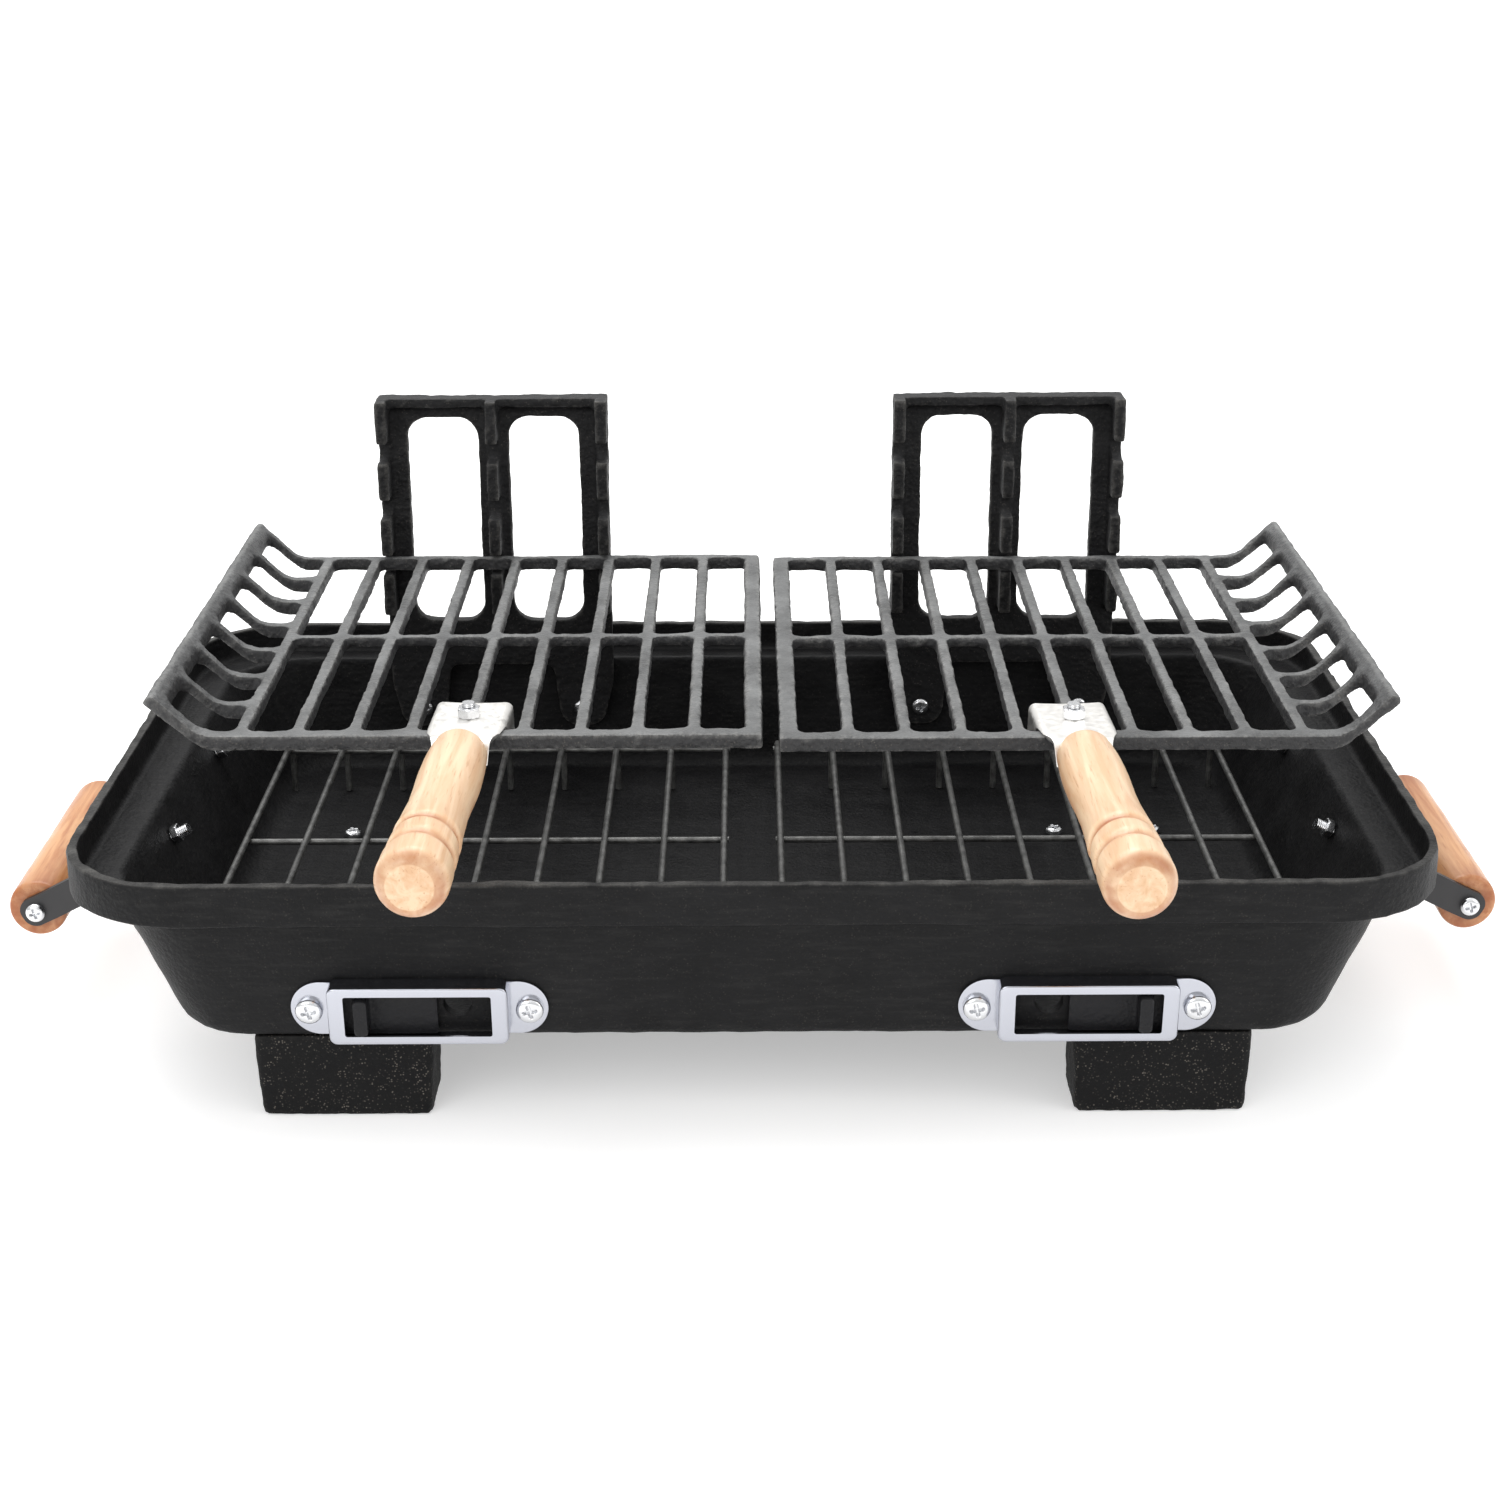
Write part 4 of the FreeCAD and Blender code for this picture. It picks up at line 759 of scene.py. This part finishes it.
def make_grip(side_name, side):
    """A turned grip: shoulder, swell, waist, a bead between two grooves and a round butt,
    carried round its axis. Its darkening attribute is a sum of bell curves along the axis for
    stains, one in each groove and one at each end, held back on the flat ends; elsewhere it is
    raised to a fainter painted shade on the side that faces down."""
    node = "grate_grip_" + side_name
    low, high = box(node)
    bolt, right, back = handle_frame(side_name, side)
    start = bolt - back * GRIP_AHEAD
    start[2] = (low + high)[2] / 2
    profile = spaced(eased(GRIP_PROFILE, GRIP_EASE, steps=9), step=2.5)
    mesh = mesh_of(node, moved(turned(profile, 72), start, right, (0, 0, 1), -back))
    roughen(mesh, ((16, 1),), 71, 0.16)
    points = read_points(mesh)
    place = (start - points) @ back
    stain_and_shade = sum(share * np.exp(-((place - centre) / width) ** 2)
                for centre, width, share in STAIN_BELLS)
    end_face, held_back, below, underside_shade = 8.5, 0.15, 0.45, 0.6
    out = np.hypot((points - start) @ right, points[:, 2] - start[2])
    # painted shade: the side that faces down is darkened with the wood's dark colour, fainter than
    # the stains in the grooves
    under = np.clip(below - read_normals(mesh)[:, 2], 0, 1) * underside_shade
    stain_and_shade = np.where(out < end_face, stain_and_shade * held_back, np.maximum(stain_and_shade, under))
    put_values(mesh, "stain_and_shade", np.clip(stain_and_shade, 0, 1))
    show(node + "_turned", mesh, BEECH, "grate_" + side_name, [node])


def make_carry_grip(side_name):
    """A dowel: a straight profile with round ends, carried round an axis along Y. Stains
    darken the last part of each end."""
    node = "carry_grip_" + side_name
    low, high = box(node)
    middle = (low + high) / 2
    half, radius = (high - low)[1] / 2, (high - low)[0] / 2
    corners = [(0, -half), (radius, -half), (radius, half), (0, half)]
    profile = spaced(eased(corners, 2.2, steps=8), step=3)
    mesh = mesh_of(node, moved(turned(profile, 72), middle, (1, 0, 0), (0, 0, 1), (0, -1, 0)))
    roughen(mesh, ((22, 1),), 81, 0.2)
    reach = np.abs(read_points(mesh)[:, 1] - middle[1])
    dark_end, fade = 16, 20
    put_values(mesh, "stain_and_shade", np.clip((reach - half + dark_end) / fade, 0, 1) ** 1.5)
    show(node + "_turned", mesh, STAINED_WOOD, ROOT, [node])


def fold(distance, start, radius, angle):
    """Where a flat strip goes once it is folded down: straight to start, then round an arc of
    this radius and angle, then straight on. Gives the distance out and the drop."""
    past = np.maximum(distance - start, 0)
    turn = np.minimum(past / radius, angle)
    rest = np.maximum(past - radius * angle, 0)
    out = np.minimum(distance, start) + radius * np.sin(turn) + rest * math.cos(angle)
    return out, -radius * (1 - np.cos(turn)) - rest * math.sin(angle)


GAUGE = 1.5
NOSE_DROP = 12.0


def make_bracket(side_name, side_sign):
    """A stamped clip. Its flat blank is as wide as width(s) at distance s from the nose, and is
    folded down at the front for the nose and at both sides for the ears that grip the bars;
    the rear edge is hollow."""
    node = "handle_bracket_" + side_name
    top = box(node)[1][2]
    bolt, right, along = handle_frame(side_name, side_sign)
    half, reach, ears = 15.0, 43.0, 9.5
    bend, corner, hollow, hollow_from = 3.0, 2.2, 1.6, 9
    nose = NOSE_DROP - GAUGE - bend + bend * math.pi / 2
    total = nose + reach - bend
    s = np.unique(np.concatenate([np.linspace(0, total, 70), nose + np.linspace(17, 22, 12)]))
    width = np.interp(s, [0, 1.5, nose - 2, nose + 6, nose + 17, nose + 20, nose + 21.5,
                          total - 5, total - 3, total],
                      [half * 0.5, half * 0.66, half * 0.74, half - 1.5, half - 0.3,
                       half + ears * 0.55, half + ears, half + ears, half + ears * 0.5,
                       half - 0.4])
    v = np.linspace(-1, 1, 61)
    side = width[:, None] * v
    out, down = fold(np.abs(side), half - corner - GAUGE / 2, corner, math.radians(84))
    x = np.sign(side) * out
    back, nose_drop = fold(total - s, total - nose, bend, math.radians(88))
    rear = np.clip((s - (total - hollow_from)) / hollow_from, 0, 1)[:, None]
    y = reach - GRIP_AHEAD - back[:, None] - rear * hollow * np.clip(1 - (x / half) ** 2, 0, 1)
    z = top - GAUGE / 2 + down + nose_drop[:, None]
    origin = (bolt[0], bolt[1], 0)
    shape = moved(surface(np.stack([x, y, z], axis=-1)), origin, right, along, (0, 0, 1))
    mesh = mesh_of(node, shape, outward=False)
    piece = show(node + "_stamped", mesh, ZINC_SHEET, "grate_" + side_name, [node],
                 60)
    add_modifier(piece, "SOLIDIFY", thickness=GAUGE * MM, offset=0.0)
    add_modifier(piece, "BEVEL", width=0.35 * MM, segments=2, limit_method="ANGLE")


for side_name, side in SIDES:
    make_grip(side_name, side)
    make_carry_grip(side_name)
    make_bracket(side_name, side)


# ---------------------------------------------------------------- vents


VENT_GAUGE, VENT_RISE, EAR_RADIUS = 1.2, 8.0, 11.4
VENT_HALF = np.array([34.25, 12.4])
VENT_WINDOW = (28.0, 8.7)


def make_vent_frame(side_name):
    """A pressed frame: a closed profile carried round a rounded rectangle, from the window's
    edge over the face, round the front corner and back to the wall; and two flat round-ended
    ears on the wall."""
    node = "vent_frame_" + side_name
    low, high = box(node)
    inner, under = VENT_HALF - VENT_GAUGE, VENT_RISE - VENT_GAUGE
    stations = [
        (*VENT_WINDOW, 1.0, VENT_RISE), (*VENT_HALF, 3.0, VENT_RISE), (*VENT_HALF, 3.2, 0),
        (*inner, 2.0, 0), (*inner, 1.8, under), (*VENT_WINDOW, 1.0, under),
        (*VENT_WINDOW, 1.0, VENT_RISE)]
    ease = [0, 1.6, 0.2, 0.2, 0.8, 0.3, 0]
    profile = spaced(eased(stations, ease, steps=6), step=2)[:-1]
    steps = ring_steps(corner=10, along_x=24, along_y=10)
    shapes = [surface(ring_loft(profile, steps), wrap_rows=True, wrap_columns=True)]
    reach = (high - low)[0] / 2 - EAR_RADIUS
    angle = np.linspace(-math.pi / 2, math.pi / 2, 40)
    root, side = VENT_HALF[0] - reach - 1.2, EAR_RADIUS * 0.99
    rim = np.concatenate([np.stack([EAR_RADIUS * np.cos(angle), EAR_RADIUS * np.sin(angle)], 1),
                          [(root, side), (root, -side)]])
    edge = eased([(0, VENT_GAUGE), (1, VENT_GAUGE), (1, 0), (0, 0)], [0, 0.06, 0.03, 0], 5)
    for end in (-1, 1):
        grid = np.stack([(reach + rim[None, :, 0] * edge[:, 0, None]) * end,
                         rim[None, :, 1] * edge[:, 0, None],
                         edge[:, 1, None] + 0 * rim[None, :, 0]], axis=-1)
        shapes.append(surface(grid, wrap_columns=True))
    lean_y, lean_z = math.sin(WALL_LEAN), math.cos(WALL_LEAN)
    seat = (low + high) / 2
    seat[1:] = high[1:] - VENT_HALF[1] * np.array([lean_y, lean_z])
    mesh = mesh_of(node, moved(joined(shapes), seat, (1, 0, 0), (0, -lean_y, lean_z),
                               (0, -lean_z, -lean_y)))
    show(node + "_pressed", mesh, CHROME, ROOT, [node], 40)


# ---------------------------------------------------------------- coal racks

WIRE_RADIUS, RACK_WIRES, RACK_BEND, CROSS_END = 1.4, 9, 7.0, 2.0
WELD_DROP = 1.7  # from one wire's middle to that of the wire welded below it, in radii


def make_rack(side_name):
    """Nine wires along Y with bent-down ends and three straight ones across below them. A long
    wire's path is three straight runs joined by quarter circles."""
    node = "coal_rack_" + side_name
    low, high = box(node)
    top, front, back = high[2] - WIRE_RADIUS, low[1] + WIRE_RADIUS, high[1] - WIRE_RADIUS
    turn = np.linspace(0, math.pi / 2, 9)
    arc = np.stack([RACK_BEND * (1 - np.cos(turn)), RACK_BEND * (np.sin(turn) - 1)], axis=1)
    half = np.concatenate([[(front, low[2])], arc + [front, top]])
    other = half[::-1] * [-1, 1] + [front + back, 0]
    profile = spaced(np.concatenate([half, other]), 18)
    shapes = []
    first, last = low[0] + CROSS_END, high[0] - CROSS_END
    for x in np.linspace(first, last, RACK_WIRES):
        path = np.concatenate([np.full((len(profile), 1), x), profile], axis=1)
        shapes.append(tube(path, WIRE_RADIUS, (1, 0, 0)))
    below = top - WIRE_RADIUS * WELD_DROP
    middle = (front + back) / 2
    for y in (front + 3 * RACK_BEND, middle - 8, back - RACK_BEND):
        path = np.array([(low[0], y, below), ((low[0] + high[0]) / 2, y, below),
                         (high[0], y, below)])
        shapes.append(tube(path, WIRE_RADIUS, (0, 1, 0)))
    show(node + "_welded", mesh_of(node, joined(shapes)), WIRE, node, [node], 60)


# ---------------------------------------------------------------- straps


def make_strap(name):
    """Flat strip keeps its CAD outline, with the edges broken as a shear and a tumbler leave
    them."""
    mesh = merged_copy(name)
    work = bmesh.new()
    work.from_mesh(mesh)
    bmesh.ops.dissolve_limit(work, angle_limit=math.radians(1), verts=work.verts,
                             edges=work.edges)
    work.to_mesh(mesh)
    work.free()
    piece = show(name + "_strip", mesh, STRAP_PAINT, ROOT, [name], 30)
    add_modifier(piece, "BEVEL", width=0.4 * MM, segments=2, limit_method="ANGLE",
                 angle_limit=math.radians(40))


for side_name, side in SIDES:
    make_vent_frame(side_name)
    make_rack(side_name)
    make_strap("strap_" + side_name + "_front")
    make_strap("strap_" + side_name + "_rear")
    for node in ("handle_bolt_", "grip_screw_"):
        make_screws(node + side_name, "grate_" + side_name)
    make_nuts("handle_nut_" + side_name, "grate_" + side_name)
for node in ("leg_bolts", "support_bolts", "vent_screws", "strap_bolts", "carry_grip_screws"):
    make_screws(node, ROOT)
for node in ("leg_nuts", "support_nuts", "vent_nuts", "strap_nuts"):
    make_nuts(node, ROOT)


# ---------------------------------------------------------------- floor, light and camera


def make_floor():
    """A wide pale sheet, a disc of rings about the object."""
    below = 0.05
    radius = np.array([0.001, 300, 900, 3000, 9000, 14000])[:, None]
    angle = np.linspace(0, 2 * math.pi, 64, endpoint=False)
    grid = np.stack([radius * np.cos(angle), radius * np.sin(angle),
                     -below + 0 * radius * angle], axis=-1)
    mesh = mesh_of("floor", surface(grid, wrap_columns=True), outward=False)
    material, tree, shader, _ = new_material("back_lit_white_acrylic")
    set_inputs(tree, shader, {"Base Color": srgb("#e4e4e4"), "Roughness": 0.9,
                              "Emission Color": srgb("#ffffff"), "Emission Strength": 0.4})
    mesh.materials.append(material)
    floor = bpy.data.objects.new("floor", mesh)
    bpy.context.scene.collection.objects.link(floor)


def add_softbox(name, place, aim, size, watts):
    """A square softbox at place that points at aim, both in metres."""
    light = bpy.data.lights.new(name, "AREA")
    light.shape = "RECTANGLE"
    light.size, light.size_y = size
    light.energy = watts
    lamp = bpy.data.objects.new(name, light)
    bpy.context.scene.collection.objects.link(lamp)
    lamp.location = place
    away = np.array(place) - np.array(aim)
    across, height = math.atan2(away[0], -away[1]), math.atan2(away[2], np.hypot(*away[:2]))
    lamp.rotation_euler = Euler((math.pi / 2 - height, 0, across))


make_floor()
add_softbox("top_softbox", (-0.35, 0.5, 1.5), (0, 0, 0.1), (1.6, 1.0), 18)
add_softbox("front_softbox", (-0.9, -1.5, 0.9), (0, 0, 0.05), (1.2, 0.9), 7)
add_softbox("right_softbox", (1.5, -0.7, 0.8), (0, 0, 0.08), (0.8, 1.0), 5)

world = bpy.data.worlds.new("studio")
world.use_nodes = True
sky = world.node_tree
direction = add(sky, "SeparateXYZ", {0: add(sky, "TexCoord").outputs["Generated"]})
ceiling = ramp(sky, direction.outputs["Z"], 0.05, 0.75, 0.7, 1.2)
set_inputs(sky, sky.nodes["Background"], {"Color": (1.0, 1.0, 1.0, 1.0), "Strength": ceiling})
bpy.context.scene.world = world
bpy.context.scene.view_settings.view_transform = "Standard"

CAMERA_PLACE = (-0.001, -0.9874, 0.4911)
LOOKS_DOWN, LEANS = math.radians(20.76), math.radians(-0.26)
camera_data = bpy.data.cameras.new("camera")
camera_data.sensor_width, camera_data.lens = 36.0, 62.44
camera_data.clip_end = 50.0
camera = bpy.data.objects.new("camera", camera_data)
bpy.context.scene.collection.objects.link(camera)
camera.location = CAMERA_PLACE
tilt = Euler((math.pi / 2 - LOOKS_DOWN, 0, 0)).to_matrix()
roll = Euler((0, 0, LEANS)).to_matrix()
camera.rotation_euler = (tilt @ roll).to_euler()
bpy.context.scene.camera = camera
